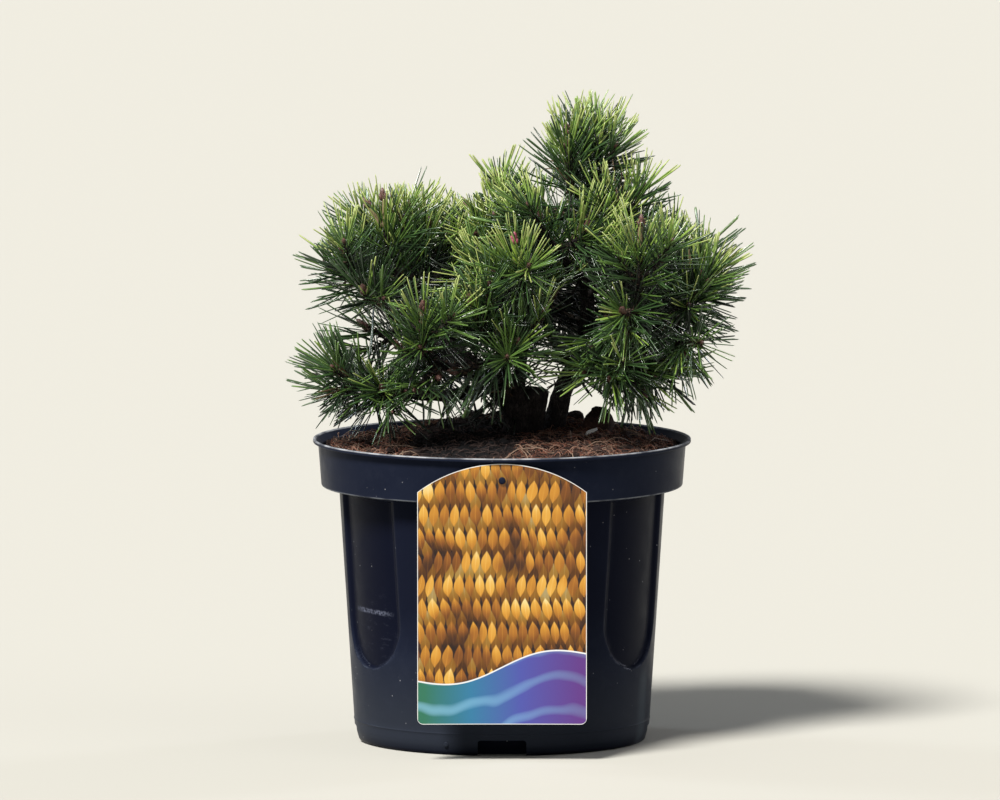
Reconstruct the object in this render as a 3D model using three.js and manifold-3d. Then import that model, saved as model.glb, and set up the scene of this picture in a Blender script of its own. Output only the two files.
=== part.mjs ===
// A young mugo pine in its round nursery pot, with a picture card on the pot's rim band.
// Millimetres, +Z up. The origin is the centre of the pot's flat underside, and the card faces -Y.
import * as THREE from "three";
import { mergeVertices } from "three/addons/utils/BufferGeometryUtils.js";
import Module from "manifold-3d";

const wasm = await Module();
wasm.setup();

// ---------------------------------------------------------------- driving dimensions
const GAP = 0.3; // clearance between neighbouring solids

// Pot: a five-litre container with a rim band, six sunk panels and four drain notches.
const POT_HEIGHT = 181;
const LIP_RADIUS = 113;
const LIP_THICKNESS = 2.2;
const BAND_TOP_RADIUS = 110;
const BAND_FOOT_RADIUS = 108;
const BAND_HEIGHT = 28;
const BODY_TOP_RADIUS = 97.5;
const BODY_FOOT_RADIUS = 87.6;
const FOOT_CHAMFER = 5.5;
const WALL = 2.3;
const POT_SIDES = 36;
const HOLLOW_SIDES = 24;
const PANELS = 6;
const PANEL_WIDTH = 59;
const PANEL_FOOT_Z = 48;
const PANEL_DEPTH = 2.8;
const NOTCHES = 4;
const NOTCH_WIDTH = 29;
const NOTCH_HEIGHT = 9.6;
const NOTCH_REACH = 13;

// Card: flat plastic with an arched head, hung on a stud of the rim band.
const CARD_WIDTH = 100.5;
const CARD_HEIGHT = 155.5;
const CARD_ARCH = 17;
const CARD_CORNER = 3.6;
const CARD_THICKNESS = 0.8;
const CARD_HOLE_DROP = 10;
const STUD_RADIUS = 2.1;
const STUD_PROUD = 1.4;

// Root ball: fills the pot, low at the wall and mounded round the stems.
const SOIL_EDGE_Z = 175.5;
const SOIL_CROWN_Z = 182.5;
const SOIL_MIDDLE = [6, 12];
const SOIL_MOUND = 80;
const SOIL_RINGS = 8;
const SOIL_ROUGHNESS = 1.5;
const STEM_FOOT_Z = 180;
const SEAT_MARGIN = 2;
const CLOD_RADIUS = 8.5;
const CLOD_PLACE = [58, 28, 187];

// Needles: each spike stands for a tuft of needle pairs, on a slim core of bud scales and sheaths.
const NEEDLE_LENGTH = 36;
const NEEDLE_OPEN = THREE.MathUtils.degToRad(80); // lean from the twig at the oldest needles
const NEEDLE_SHUT = THREE.MathUtils.degToRad(24); // and round the bud
const SPACE_MARGIN = 0.35; // what a needle keeps clear of the side of its mass's space
const LOWEST_NEEDLE_Z = POT_HEIGHT + 3;
const LEAFY_LENGTH = 85;
const CORE_RADIUS = 3.1;
const CORE_SIDES = 5;
const RING_STEP = 7.2;
const TWIG_RADIUS = 2;
const BUD_LENGTH = 9;
const FORK_STEP = 7; // how far a mass's stem runs before its twigs part
const LIMB_STEP = 14; // between the rings of a limb
const FLARE_HEIGHT = 7; // in which the root flare falls to about a third

// ---------------------------------------------------------------- the plant's plan
// A stem rises from the root ball: the points of its axis, and its radius at foot and tip.
const STEMS = {
  trunk: {
    points: [[29.5, 25, 180], [38.5, 21, 213], [48, 18, 230], [51, 17, 262], [46, 14, 300]],
    radii: [6.4, 2.8],
    flare: 2.5,
  },
  left_stem: {
    points: [[12, 12, 180], [6, 9, 201], [-12, 6, 219], [-34, 4, 237], [-50, 4, 258]],
    radii: [9.2, 2.8],
    flare: 2,
  },
};

// A bough leaves a limb at a share of that limb's length and runs to its own tip.
const BOUGHS = {
  right_bough: { parent: "trunk", share: 0.42, tip: [94, 2, 250], radii: [4.8, 3] },
  upper_right_bough: { parent: "trunk", share: 0.7, tip: [65, 4, 288], radii: [3.2, 2.5] },
  right_front_bough: { parent: "right_bough", share: 0.5, tip: [78, -13, 252], radii: [3.2, 2.5] },
  right_low_bough: { parent: "trunk", share: 0.34, tip: [62, -4, 226], radii: [3.4, 2.5] },
  crown_mid_bough: { parent: "trunk", share: 0.79, tip: [38, -6, 288], radii: [3.2, 2.5] },
  centre_bough: { parent: "left_stem", share: 0.16, tip: [14, -20, 262], radii: [4.2, 2.6] },
  front_low_bough: { parent: "left_stem", share: 0.27, tip: [2, -20, 223], radii: [3.4, 2.5] },
  left_front_bough: { parent: "left_stem", share: 0.5, tip: [-37, -18, 228], radii: [3.4, 2.5] },
  left_bough: { parent: "left_stem", share: 0.7, tip: [-66, -4, 256], radii: [3.6, 2.6] },
  left_low_bough: { parent: "left_stem", share: 0.36, tip: [-58, -10, 209], radii: [4.2, 2.7] },
  centre_back_bough: { parent: "left_stem", share: 0.3, tip: [2, 24, 270], radii: [3.8, 2.6] },
  back_bough: { parent: "trunk", share: 0.35, tip: [24, 58, 250], radii: [3.8, 2.6] },
  back_right_bough: { parent: "trunk", share: 0.5, tip: [76, 44, 240], radii: [3.6, 2.6] },
  back_left_bough: { parent: "left_stem", share: 0.42, tip: [-44, 48, 232], radii: [3.8, 2.6] },
};

// A mass grows on from one limb's tip. Each shoot is the end of its twig [x, y, z] and its lift:
// 0 ends it straight away from the limb, 1 straight up.
const MASSES = {
  needles_crown_top: {
    limb: "trunk",
    shoots: [[39, 6, 357, 0.8], [60, 20, 358, 0.75], [42, 44, 336, 0.6], [25, 20, 319, 0.6]],
  },
  needles_crown_mid: {
    limb: "crown_mid_bough",
    shoots: [[22, -16, 316, 0.7], [50, -26, 309, 0.6]],
  },
  needles_upper_right: {
    limb: "upper_right_bough",
    shoots: [[71, -8, 321, 0.7], [82, 28, 304, 0.6], [78, 48, 290, 0.5]],
  },
  needles_right_front: {
    limb: "right_front_bough",
    shoots: [[82, -42, 299, 0.75], [72, -58, 263, 0.25], [56, -36, 241, 0.2]],
  },
  needles_right: {
    limb: "right_bough",
    shoots: [[119, -6, 278, 0.6], [110, 26, 281, 0.7], [108, -24, 235, 0.1]],
  },
  needles_right_low: {
    limb: "right_low_bough",
    shoots: [[87, -20, 222, 0], [64, -46, 222, 0.1], [86, 14, 227, 0.1]],
  },
  needles_front_centre: {
    limb: "centre_bough",
    shoots: [[8, -49, 292, 0.6], [30, -10, 268, 0.5], [-16, -24, 284, 0.6]],
  },
  needles_front_low: {
    limb: "front_low_bough",
    shoots: [[-17, -48, 262, 0.5], [9, -50, 243, 0.4], [-28, -44, 226, 0.1]],
  },
  needles_left_front: {
    limb: "left_front_bough",
    shoots: [[-47, -56, 256, 0.5], [-38, -50, 223, 0.2], [-62, -36, 240, 0.4]],
  },
  needles_left_top: {
    limb: "left_stem",
    shoots: [[-70, -2, 309, 0.8], [-44, 10, 306, 0.8], [-62, 36, 290, 0.6], [-28, 4, 288, 0.6]],
  },
  needles_left: {
    limb: "left_bough",
    shoots: [[-95, -10, 292, 0.6], [-80, 30, 272, 0.5], [-82, -30, 272, 0.45]],
  },
  needles_left_low: {
    limb: "left_low_bough",
    shoots: [[-98, -22, 226, 0.6], [-80, 24, 217, 0.4], [-71, -42, 215, 0.3]],
  },
  needles_centre_back: {
    limb: "centre_back_bough",
    shoots: [[-5, 10, 311, 0.85], [10, 40, 316, 0.8], [-22, 48, 298, 0.6], [20, 8, 292, 0.7]],
  },
  needles_back: {
    limb: "back_bough",
    shoots: [[22, 90, 276, 0.6], [52, 74, 292, 0.7], [-8, 92, 248, 0.5], [44, 98, 250, 0.4]],
  },
  needles_back_right: {
    limb: "back_right_bough",
    shoots: [[92, 66, 256, 0.6], [74, 94, 236, 0.4], [88, 50, 218, 0.1], [84, 66, 272, 0.7]],
  },
  needles_back_left: {
    limb: "back_left_bough",
    shoots: [[-62, 74, 264, 0.6], [-82, 56, 242, 0.4], [-42, 90, 224, 0.3], [-28, 66, 268, 0.7]],
  },
};

const COLOURS = {
  pot: { color: 0x1a1c29, roughness: 0.38, metalness: 0 },
  card: { color: 0xd59a2c, roughness: 0.35, metalness: 0 },
  soil: { color: 0x3a2318, roughness: 1, metalness: 0 },
  bark: { color: 0x33271f, roughness: 0.95, metalness: 0 },
  needles: { color: 0x33472b, roughness: 0.55, metalness: 0 },
};

// ---------------------------------------------------------------- small helpers
const vec = (point) => new THREE.Vector3(...point);
const UP = new THREE.Vector3(0, 0, 1);

// A repeatable random number generator: the same seed always gives the same run of numbers in 0..1.
function seeded(seed) {
  let state = seed;
  return () => {
    state = (state * 1664525 + 1013904223) % 4294967296;
    return state / 4294967296;
  };
}

// A closed geometry as a manifold-3d solid.
function solid(geometry) {
  const bare = new THREE.BufferGeometry().setAttribute("position", geometry.getAttribute("position"));
  bare.setIndex(geometry.index);
  const merged = mergeVertices(bare, 1e-4);
  const mesh = new wasm.Mesh({
    numProp: 3,
    vertProperties: new Float32Array(merged.attributes.position.array),
    triVerts: new Uint32Array(merged.index.array),
  });
  return new wasm.Manifold(mesh);
}

// A manifold-3d solid as a geometry with flat faces.
function geometryOf(shape) {
  const { vertProperties, triVerts } = shape.getMesh();
  const geometry = new THREE.BufferGeometry();
  geometry.setAttribute("position", new THREE.Float32BufferAttribute(vertProperties, 3));
  geometry.setIndex([...triVerts]);
  return geometry;
}

// The largest closed surface of a solid: a sealed hollow is filled and a loose scrap is dropped.
function outerBody(shape) {
  return shape.decompose().sort((a, b) => b.volume() - a.volume())[0];
}

function lathe(profile, sides) {
  const points = profile.map(([radius, z]) => new THREE.Vector2(radius, z));
  return solid(new THREE.LatheGeometry(points, sides).rotateX(Math.PI / 2));
}

// ---------------------------------------------------------------- pot
const bandFootZ = POT_HEIGHT - BAND_HEIGHT;
const bodyRadius = (z) => THREE.MathUtils.mapLinear(z, 0, bandFootZ, BODY_FOOT_RADIUS, BODY_TOP_RADIUS);
const lipFootZ = POT_HEIGHT - LIP_THICKNESS;

// The body's cone, deepened by some millimetres, which is what a sunk panel's floor follows.
function bodyCone(depth) {
  const below = -20;
  const above = bandFootZ + 20;
  const profile = [below, above].map((z) => [bodyRadius(z) - depth, z]);
  return lathe([[0, below], ...profile, [0, above]], POT_SIDES);
}

// An upright bar through the wall with a half-round foot, whose inner end is cut to the cone.
function panelCutter(angle, depth, grow) {
  const half = PANEL_WIDTH / 2 + grow;
  const centreZ = PANEL_FOOT_Z + PANEL_WIDTH / 2;
  const outline = new THREE.Shape();
  outline.moveTo(half, bandFootZ - WALL + grow);
  outline.lineTo(-half, bandFootZ - WALL + grow);
  outline.lineTo(-half, centreZ);
  outline.absarc(0, centreZ, half, Math.PI, 2 * Math.PI, false);
  const reach = 60;
  const bar = new THREE.ExtrudeGeometry(outline, { depth: reach, bevelEnabled: false, curveSegments: 7 });
  bar.rotateX(Math.PI / 2).translate(0, -BODY_FOOT_RADIUS + reach / 2, 0).rotateZ(angle);
  return solid(bar).subtract(bodyCone(depth));
}

function notchCutter(angle) {
  const half = NOTCH_WIDTH / 2;
  const outline = new THREE.Shape();
  outline.moveTo(-half, -1);
  outline.lineTo(half, -1);
  outline.lineTo(half, NOTCH_HEIGHT - 2);
  outline.lineTo(half - 2, NOTCH_HEIGHT);
  outline.lineTo(2 - half, NOTCH_HEIGHT);
  outline.lineTo(-half, NOTCH_HEIGHT - 2);
  const reach = NOTCH_REACH + 10;
  const bar = new THREE.ExtrudeGeometry(outline, { depth: reach, bevelEnabled: false });
  bar.rotateX(Math.PI / 2).translate(0, -BODY_FOOT_RADIUS + NOTCH_REACH, 0).rotateZ(angle);
  return solid(bar);
}

function potSolid() {
  const outside = [
    [0, 0], [BODY_FOOT_RADIUS - FOOT_CHAMFER, 0], [BODY_FOOT_RADIUS - 1, 2],
    [bodyRadius(FOOT_CHAMFER), FOOT_CHAMFER], [bodyRadius(bandFootZ), bandFootZ],
    [BAND_FOOT_RADIUS - 0.8, bandFootZ], [BAND_FOOT_RADIUS, bandFootZ + 1], [BAND_TOP_RADIUS, lipFootZ],
    [LIP_RADIUS - 0.4, lipFootZ], [LIP_RADIUS, lipFootZ + 0.6],
    [LIP_RADIUS - 0.6, POT_HEIGHT], [0, POT_HEIGHT],
  ];
  const inside = [
    [0, WALL], [bodyRadius(WALL) - WALL - 2, WALL], [bodyRadius(WALL) - WALL, WALL + 2],
    [bodyRadius(bandFootZ) - WALL, bandFootZ], [bodyRadius(bandFootZ) - WALL + 1.5, bandFootZ + WALL],
    [BAND_FOOT_RADIUS - WALL, bandFootZ + WALL],
    [BAND_TOP_RADIUS - WALL, POT_HEIGHT + 1], [0, POT_HEIGHT + 1],
  ];
  let shell = lathe(outside, POT_SIDES);
  let hollow = lathe(inside, HOLLOW_SIDES);
  for (let i = 0; i < PANELS; i++) {
    const angle = (i * 2 * Math.PI) / PANELS;
    shell = shell.subtract(panelCutter(angle, PANEL_DEPTH, 0));
    hollow = hollow.subtract(panelCutter(angle, PANEL_DEPTH + WALL, WALL));
  }
  let pot = shell.subtract(hollow);
  for (let i = 0; i < NOTCHES; i++) pot = pot.subtract(notchCutter((i * 2 * Math.PI) / NOTCHES));
  return pot.add(studSolid());
}

// ---------------------------------------------------------------- card and its stud
const cardBackY = -(BAND_TOP_RADIUS + GAP);
const cardTopZ = lipFootZ - 1;
const studZ = cardTopZ - CARD_HOLE_DROP;

function studSolid() {
  const rootY = -BAND_FOOT_RADIUS + WALL / 2;
  const headY = cardBackY - CARD_THICKNESS - STUD_PROUD;
  const length = rootY - headY;
  const stud = new THREE.CylinderGeometry(STUD_RADIUS, STUD_RADIUS, length, 10);
  return solid(stud.translate(0, (rootY + headY) / 2, studZ));
}

function cardSolid() {
  const half = CARD_WIDTH / 2;
  const shoulder = CARD_HEIGHT - CARD_ARCH;
  const archRadius = (half * half + CARD_ARCH * CARD_ARCH) / (2 * CARD_ARCH);
  const spread = Math.asin(half / archRadius);
  const outline = new THREE.Shape();
  outline.absarc(half - CARD_CORNER, CARD_CORNER, CARD_CORNER, -Math.PI / 2, 0, false);
  outline.absarc(0, CARD_HEIGHT - archRadius, archRadius, Math.PI / 2 - spread, Math.PI / 2 + spread, false);
  outline.lineTo(-half, shoulder);
  outline.absarc(CARD_CORNER - half, CARD_CORNER, CARD_CORNER, Math.PI, 1.5 * Math.PI, false);
  const hole = new THREE.Path();
  hole.absarc(0, CARD_HEIGHT - CARD_HOLE_DROP, STUD_RADIUS + GAP, 0, 2 * Math.PI, true);
  outline.holes.push(hole);
  const options = { depth: CARD_THICKNESS, bevelEnabled: false, curveSegments: 7 };
  const card = new THREE.ExtrudeGeometry(outline, options);
  return solid(card.rotateX(Math.PI / 2).translate(0, cardBackY, cardTopZ - CARD_HEIGHT));
}

// ---------------------------------------------------------------- root ball
// The soil's height: a mound round the stems with seeded bumps, flat enough at the wall.
function soilHeight(x, y) {
  const distance = Math.hypot(x - SOIL_MIDDLE[0], y - SOIL_MIDDLE[1]);
  const mound = Math.exp(-((distance / SOIL_MOUND) ** 4));
  const broad = Math.sin(x * 0.21 + y * 0.13) * Math.cos(y * 0.19 - x * 0.07);
  const bumps = broad + 0.6 * Math.sin(x * 0.43 - y * 0.37);
  return THREE.MathUtils.lerp(SOIL_EDGE_Z, SOIL_CROWN_Z, mound) + bumps * SOIL_ROUGHNESS * (1 - 0.7 * mound);
}

function soilSolid() {
  const wallRadius = BAND_FOOT_RADIUS - WALL - GAP;
  const panelRadius = (z) => bodyRadius(z) - PANEL_DEPTH - 2 * WALL - GAP;
  const shelfZ = bandFootZ + WALL + GAP;
  const footZ = WALL + GAP;
  const profile = [
    [0, footZ], [BODY_FOOT_RADIUS - NOTCH_REACH - 3, footZ],
    [panelRadius(NOTCH_HEIGHT + 3), NOTCH_HEIGHT + 3], [panelRadius(shelfZ), shelfZ], [wallRadius, shelfZ],
  ];
  for (let ring = 0; ring <= SOIL_RINGS; ring++)
    profile.push([wallRadius * (1 - ring / SOIL_RINGS), POT_HEIGHT]);
  const points = profile.map(([radius, z]) => new THREE.Vector2(radius, z));
  const ball = new THREE.LatheGeometry(points, HOLLOW_SIDES).rotateX(Math.PI / 2);
  const place = ball.getAttribute("position");
  for (let i = 0; i < place.count; i++)
    if (place.getZ(i) > POT_HEIGHT - 1) place.setZ(i, soilHeight(place.getX(i), place.getY(i)));
  let soil = solid(ball);
  // A dark clod of peat lies beside the trunk.
  const clod = new THREE.IcosahedronGeometry(CLOD_RADIUS, 1).scale(1, 0.8, 0.95);
  soil = soil.add(solid(clod.translate(...CLOD_PLACE)));
  for (const stem of Object.values(STEMS)) {
    const seat = new THREE.CylinderGeometry(1, 1, 40, 12).rotateX(Math.PI / 2);
    const radius = stem.radii[0] + stem.flare + SEAT_MARGIN;
    const [x, y] = stem.points[0];
    soil = soil.subtract(solid(seat.scale(radius, radius, 1).translate(x, y, STEM_FOOT_Z - GAP + 20)));
  }
  return soil;
}

// ---------------------------------------------------------------- limbs
// A swept tube: at each station, a share of the curve's length and a radius. Past the curve's end
// it runs on straight. A pointed tip reaches so far beyond the last ring.
function sweep(curve, stations, sides, point = 0) {
  const tube = new THREE.CylinderGeometry(1, 1, 1, sides, stations.length - 1);
  tube.deleteAttribute("normal");
  tube.deleteAttribute("uv");
  const geometry = mergeVertices(tube);
  const length = curve.getLength();
  let side = null;
  const rings = stations.map(({ at, radius }) => {
    const within = THREE.MathUtils.clamp(at, 0, 1);
    const ahead = curve.getTangentAt(within);
    const centre = curve.getPointAt(within).addScaledVector(ahead, (at - within) * length);
    side ??= new THREE.Vector3(ahead.y, -ahead.x, 0.01).normalize();
    side = side.clone().addScaledVector(ahead, -side.dot(ahead)).normalize();
    return { centre, ahead, side, across: side.clone().cross(ahead), radius };
  });
  const place = geometry.getAttribute("position");
  const ringOf = [];
  for (let i = 0; i < place.count; i++) {
    const [x, y, z] = [place.getX(i), place.getY(i), place.getZ(i)];
    ringOf[i] = Math.round((y + 0.5) * (stations.length - 1));
    const ring = rings[ringOf[i]];
    const spot = ring.centre.clone().addScaledVector(ring.side, x * ring.radius);
    spot.addScaledVector(ring.across, z * ring.radius);
    const isTip = ringOf[i] === stations.length - 1 && Math.hypot(x, z) < 0.01;
    if (isTip) spot.addScaledVector(ring.ahead, point);
    place.setXYZ(i, spot.x, spot.y, spot.z);
  }
  return { geometry, rings, ringOf };
}

// Every limb by name: its curve, its radius at a share of its length, and its number of sides.
const limbs = {};
for (const [name, stem] of Object.entries(STEMS)) {
  const curve = new THREE.CatmullRomCurve3(stem.points.map(vec));
  const [foot, tip] = stem.radii;
  const spread = (share) => stem.flare * Math.exp((-Math.max(share, 0) * curve.getLength()) / FLARE_HEIGHT);
  const radiusAt = (share) => THREE.MathUtils.lerp(foot, tip, share) + spread(share);
  limbs[name] = { curve, sides: 9, isStem: true, radiusAt };
}
for (const [name, bough] of Object.entries(BOUGHS)) {
  const start = limbs[bough.parent].curve.getPointAt(bough.share);
  const tip = vec(bough.tip);
  // The bough leaves rather flat and turns up towards its tip.
  const bend = start.clone().lerp(tip, 0.55).addScaledVector(UP, -0.12 * start.distanceTo(tip));
  const curve = new THREE.QuadraticBezierCurve3(start, bend, tip);
  limbs[name] = { curve, sides: 6, radiusAt: (share) => THREE.MathUtils.lerp(...bough.radii, share) };
}

// A limb's solid, or with some growth the space that its neighbours leave round it.
function limbSolid(limb, growth = 0) {
  const length = limb.curve.getLength();
  const steps = Math.max(3, Math.round(length / LIMB_STEP));
  const stations = [];
  if (limb.isStem) {
    // It starts below its flat cut, and the flare needs a ring or two more than the rest.
    for (const height of [-FLARE_HEIGHT, 0, FLARE_HEIGHT / 2]) stations.push(height / length);
  }
  for (let i = limb.isStem ? 1 : 0; i < steps; i++) stations.push(i / steps);
  stations.push(1 + growth / length);
  const rings = stations.map((at) => ({ at, radius: limb.radiusAt(Math.min(at, 1)) + growth }));
  const limbShape = solid(sweep(limb.curve, rings, limb.sides).geometry);
  if (!limb.isStem) return limbShape;
  const below = new THREE.BoxGeometry(100, 100, 100).translate(0, 0, STEM_FOOT_Z - 50);
  return limbShape.subtract(solid(below));
}

// ---------------------------------------------------------------- masses of needles
// A shoot's twig leaves the fork along its limb and ends with the lift of its row.
function twigCurve(fork, heading, [x, y, z, lift]) {
  const tip = vec([x, y, z]);
  const away = tip.clone().sub(fork);
  const reach = away.length();
  const ending = away.normalize().multiplyScalar(1 - lift).addScaledVector(UP, lift).normalize();
  const first = fork.clone().addScaledVector(heading, 0.3 * reach);
  const last = tip.clone().addScaledVector(ending, -0.36 * reach);
  return new THREE.CubicBezierCurve3(fork, first, last, tip);
}

const masses = Object.entries(MASSES).map(([name, { limb, shoots }]) => {
  const { curve } = limbs[limb];
  const heading = curve.getTangentAt(1);
  const root = curve.getPointAt(1);
  const fork = root.clone().addScaledVector(heading, FORK_STEP);
  const twigs = shoots.map((row) => twigCurve(fork, heading, row));
  const skeleton = [root, ...twigs.flatMap((twig) => twig.getSpacedPoints(9))];
  return { name, limb, heading, root, fork, twigs, skeleton, sides: [] };
});

// The nearest points of two convex clouds, closed in on step by step.
function nearestPoints(cloudA, cloudB) {
  const a = cloudA[0].clone();
  const b = cloudB[0].clone();
  for (let i = 0; i < 400; i++) {
    const between = a.clone().sub(b);
    const deepest = (cloud, sign) =>
      cloud.reduce((best, p) => (sign * p.dot(between) < sign * best.dot(between) ? p : best));
    const nextA = deepest(cloudA, 1);
    const nextB = deepest(cloudB, -1);
    const step = nextA.clone().sub(nextB).sub(between);
    const share = THREE.MathUtils.clamp(-between.dot(step) / Math.max(step.lengthSq(), 1e-9), 0, 1);
    a.lerp(nextA, share);
    b.lerp(nextB, share);
  }
  return [a, b];
}

// Each mass's space is bounded by the planes halfway between its twigs and every other mass's.
masses.forEach((mass, i) =>
  masses.slice(i + 1).forEach((other) => {
    const [a, b] = nearestPoints(mass.skeleton, other.skeleton);
    const normal = b.clone().sub(a).normalize();
    const middle = normal.dot(a.clone().add(b).multiplyScalar(0.5));
    mass.sides.push({ normal, limit: middle });
    other.sides.push({ normal: normal.clone().negate(), limit: -middle });
  }),
);

// The least distance between two straight segments.
function segmentDistance(a0, a1, b0, b1) {
  const steps = 12;
  const line = new THREE.Line3(b0, b1);
  const nearest = new THREE.Vector3();
  let least = Infinity;
  for (let i = 0; i <= steps; i++) {
    const spot = a0.clone().lerp(a1, i / steps);
    line.closestPointToPoint(spot, true, nearest);
    least = Math.min(least, spot.distanceTo(nearest));
  }
  return least;
}

const limbPieces = Object.values(limbs).flatMap((limb) => {
  const steps = 8;
  const spots = limb.curve.getSpacedPoints(steps);
  return spots.slice(1).map((end, i) => ({ start: spots[i], end, radius: limb.radiusAt(i / steps) }));
});

// The distance from a spot to the middle line of a twig.
function distanceTo(twig, spot) {
  const places = (twig.places ??= twig.getSpacedPoints(14));
  return Math.min(...places.map((place) => place.distanceTo(spot)));
}

// Whether a needle from root to tip keeps to its own twig's side of its mass's space, and clear of
// the pot and every limb.
function fits(mass, twig, root, tip) {
  if (tip.z < LOWEST_NEEDLE_Z) return false;
  const own = distanceTo(twig, tip);
  if (mass.twigs.some((other) => other !== twig && distanceTo(other, tip) < 0.85 * own)) return false;
  if (mass.sides.some(({ normal, limit }) => normal.dot(tip) > limit - SPACE_MARGIN)) return false;
  return limbPieces.every(
    ({ start, end, radius }) => segmentDistance(root, tip, start, end) > radius + CORE_RADIUS,
  );
}

// A shoot: a twig, a core set with needles that close in towards the tip, and a pointed bud.
function shootSolid(mass, twig, random) {
  const length = twig.getLength();
  const leafyFrom = Math.max(0.12, 1 - LEAFY_LENGTH / length);
  const stations = [];
  const bareSteps = Math.max(1, Math.round((leafyFrom * length) / 14));
  for (let i = 0; i < bareSteps; i++) stations.push({ at: (leafyFrom * i) / bareSteps, radius: TWIG_RADIUS });
  const firstLeafy = stations.length;
  const leafySteps = Math.round(((1 - leafyFrom) * length) / RING_STEP);
  for (let i = 0; i <= leafySteps; i++) {
    const share = i / leafySteps;
    const radius = CORE_RADIUS * (1 - 0.35 * share * share);
    stations.push({ at: THREE.MathUtils.lerp(leafyFrom, 1, share), radius });
  }
  const lastLeafy = stations.length - 1;
  stations.push({ at: 1 + 0.25 * (BUD_LENGTH / length), radius: 2.3 });
  const { geometry, rings, ringOf } = sweep(twig, stations, CORE_SIDES, 0.75 * BUD_LENGTH);
  const place = geometry.getAttribute("position");
  const spots = ringOf.map((_, i) => new THREE.Vector3().fromBufferAttribute(place, i));
  const faces = [];
  for (let i = 0; i < geometry.index.count; i += 3) {
    const corners = [0, 1, 2].map((k) => geometry.index.getX(i + k));
    const at = corners.map((corner) => ringOf[corner]);
    const [low, high] = [Math.min(...at), Math.max(...at)];
    const leafy = low >= firstLeafy && high <= lastLeafy && low < high;
    const tip = leafy ? needleTip(corners.map((corner) => spots[corner])) : null;
    if (!tip) {
      faces.push(...corners);
      continue;
    }
    const apex = spots.push(tip) - 1;
    corners.forEach((corner, k) => faces.push(corner, corners[(k + 1) % 3], apex));
  }

  function needleTip(corners) {
    const root = corners[0].clone().add(corners[1]).add(corners[2]).divideScalar(3);
    const near = rings.reduce((best, ring) =>
      ring.centre.distanceToSquared(root) < best.centre.distanceToSquared(root) ? ring : best,
    );
    const along = (rings.indexOf(near) - firstLeafy) / (lastLeafy - firstLeafy);
    const ahead = near.ahead;
    const outward = root.clone().sub(near.centre);
    outward.addScaledVector(ahead, -outward.dot(ahead)).normalize();
    const rise = THREE.MathUtils.clamp(along + root.clone().sub(near.centre).dot(ahead) / LEAFY_LENGTH, 0, 1);
    const lean = THREE.MathUtils.lerp(NEEDLE_OPEN, NEEDLE_SHUT, rise ** 1.3) + (random() - 0.5) * 0.12;
    const direction = outward.multiplyScalar(Math.sin(lean)).addScaledVector(ahead, Math.cos(lean));
    const reach = NEEDLE_LENGTH * (0.86 + 0.2 * random());
    for (const trim of [1, 0.8, 0.62]) {
      const tip = root.clone().addScaledVector(direction, reach * trim);
      if (fits(mass, twig, root, tip)) return tip;
    }
    return null;
  }

  const spiky = new THREE.BufferGeometry().setFromPoints(spots);
  return solid(spiky.setIndex(faces));
}

function massSolid(mass, index) {
  const random = seeded(1000 + index);
  const limb = limbs[mass.limb];
  const stemLength = FORK_STEP + 3;
  const stemCurve = new THREE.LineCurve3(mass.root.clone().addScaledVector(mass.heading, -3), mass.fork);
  const stemStations = [0, 1, 1 + 2 / stemLength].map((at) => ({ at, radius: limb.radiusAt(1) }));
  let whole = solid(sweep(stemCurve, stemStations, 6).geometry);
  for (const twig of mass.twigs) whole = whole.add(shootSolid(mass, twig, random));
  return outerBody(whole.subtract(limbSolid(limb, GAP)));
}

// ---------------------------------------------------------------- assembly
const plant = new THREE.Group();

function place(name, shape, colour) {
  const mesh = new THREE.Mesh(geometryOf(shape), new THREE.MeshStandardMaterial(COLOURS[colour]));
  mesh.name = name;
  plant.add(mesh);
}

place("pot", potSolid(), "pot");
place("card", cardSolid(), "card");
place("root_ball", soilSolid(), "soil");
for (const name of Object.keys(limbs)) {
  const parent = BOUGHS[name]?.parent;
  const limb = limbSolid(limbs[name]);
  place(name, parent ? limb.subtract(limbSolid(limbs[parent], GAP)) : limb, "bark");
}
masses.forEach((mass, index) => place(mass.name, massSolid(mass, index), "needles"));

export default plant;
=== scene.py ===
"""A young mugo pine in its round nursery pot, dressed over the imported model.

The plan of stems, boughs and shoots is the part's own, in millimetres and degrees. Every mesh is made
in metres, in the row's frame: +Z up from the pot's flat underside, with the card facing -Y.
"""
import math

import bpy
import numpy as np
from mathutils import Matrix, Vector, noise


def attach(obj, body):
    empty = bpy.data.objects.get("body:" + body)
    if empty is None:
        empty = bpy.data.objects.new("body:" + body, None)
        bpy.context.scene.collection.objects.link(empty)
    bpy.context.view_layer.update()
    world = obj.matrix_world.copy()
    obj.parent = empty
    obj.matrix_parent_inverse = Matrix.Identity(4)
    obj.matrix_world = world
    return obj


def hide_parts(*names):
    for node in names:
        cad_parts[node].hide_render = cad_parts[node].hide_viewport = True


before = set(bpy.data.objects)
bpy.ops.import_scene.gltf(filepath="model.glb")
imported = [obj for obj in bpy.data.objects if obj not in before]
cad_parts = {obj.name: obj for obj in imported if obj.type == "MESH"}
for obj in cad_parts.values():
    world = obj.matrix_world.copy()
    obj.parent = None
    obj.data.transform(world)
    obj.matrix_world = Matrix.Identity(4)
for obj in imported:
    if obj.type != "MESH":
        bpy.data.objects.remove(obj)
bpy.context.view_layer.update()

MM = 0.001
UP = np.array([0.0, 0.0, 1.0])
GOLDEN = math.pi * (3 - math.sqrt(5))  # the turn from one needle pair to the next along a shoot

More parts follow.
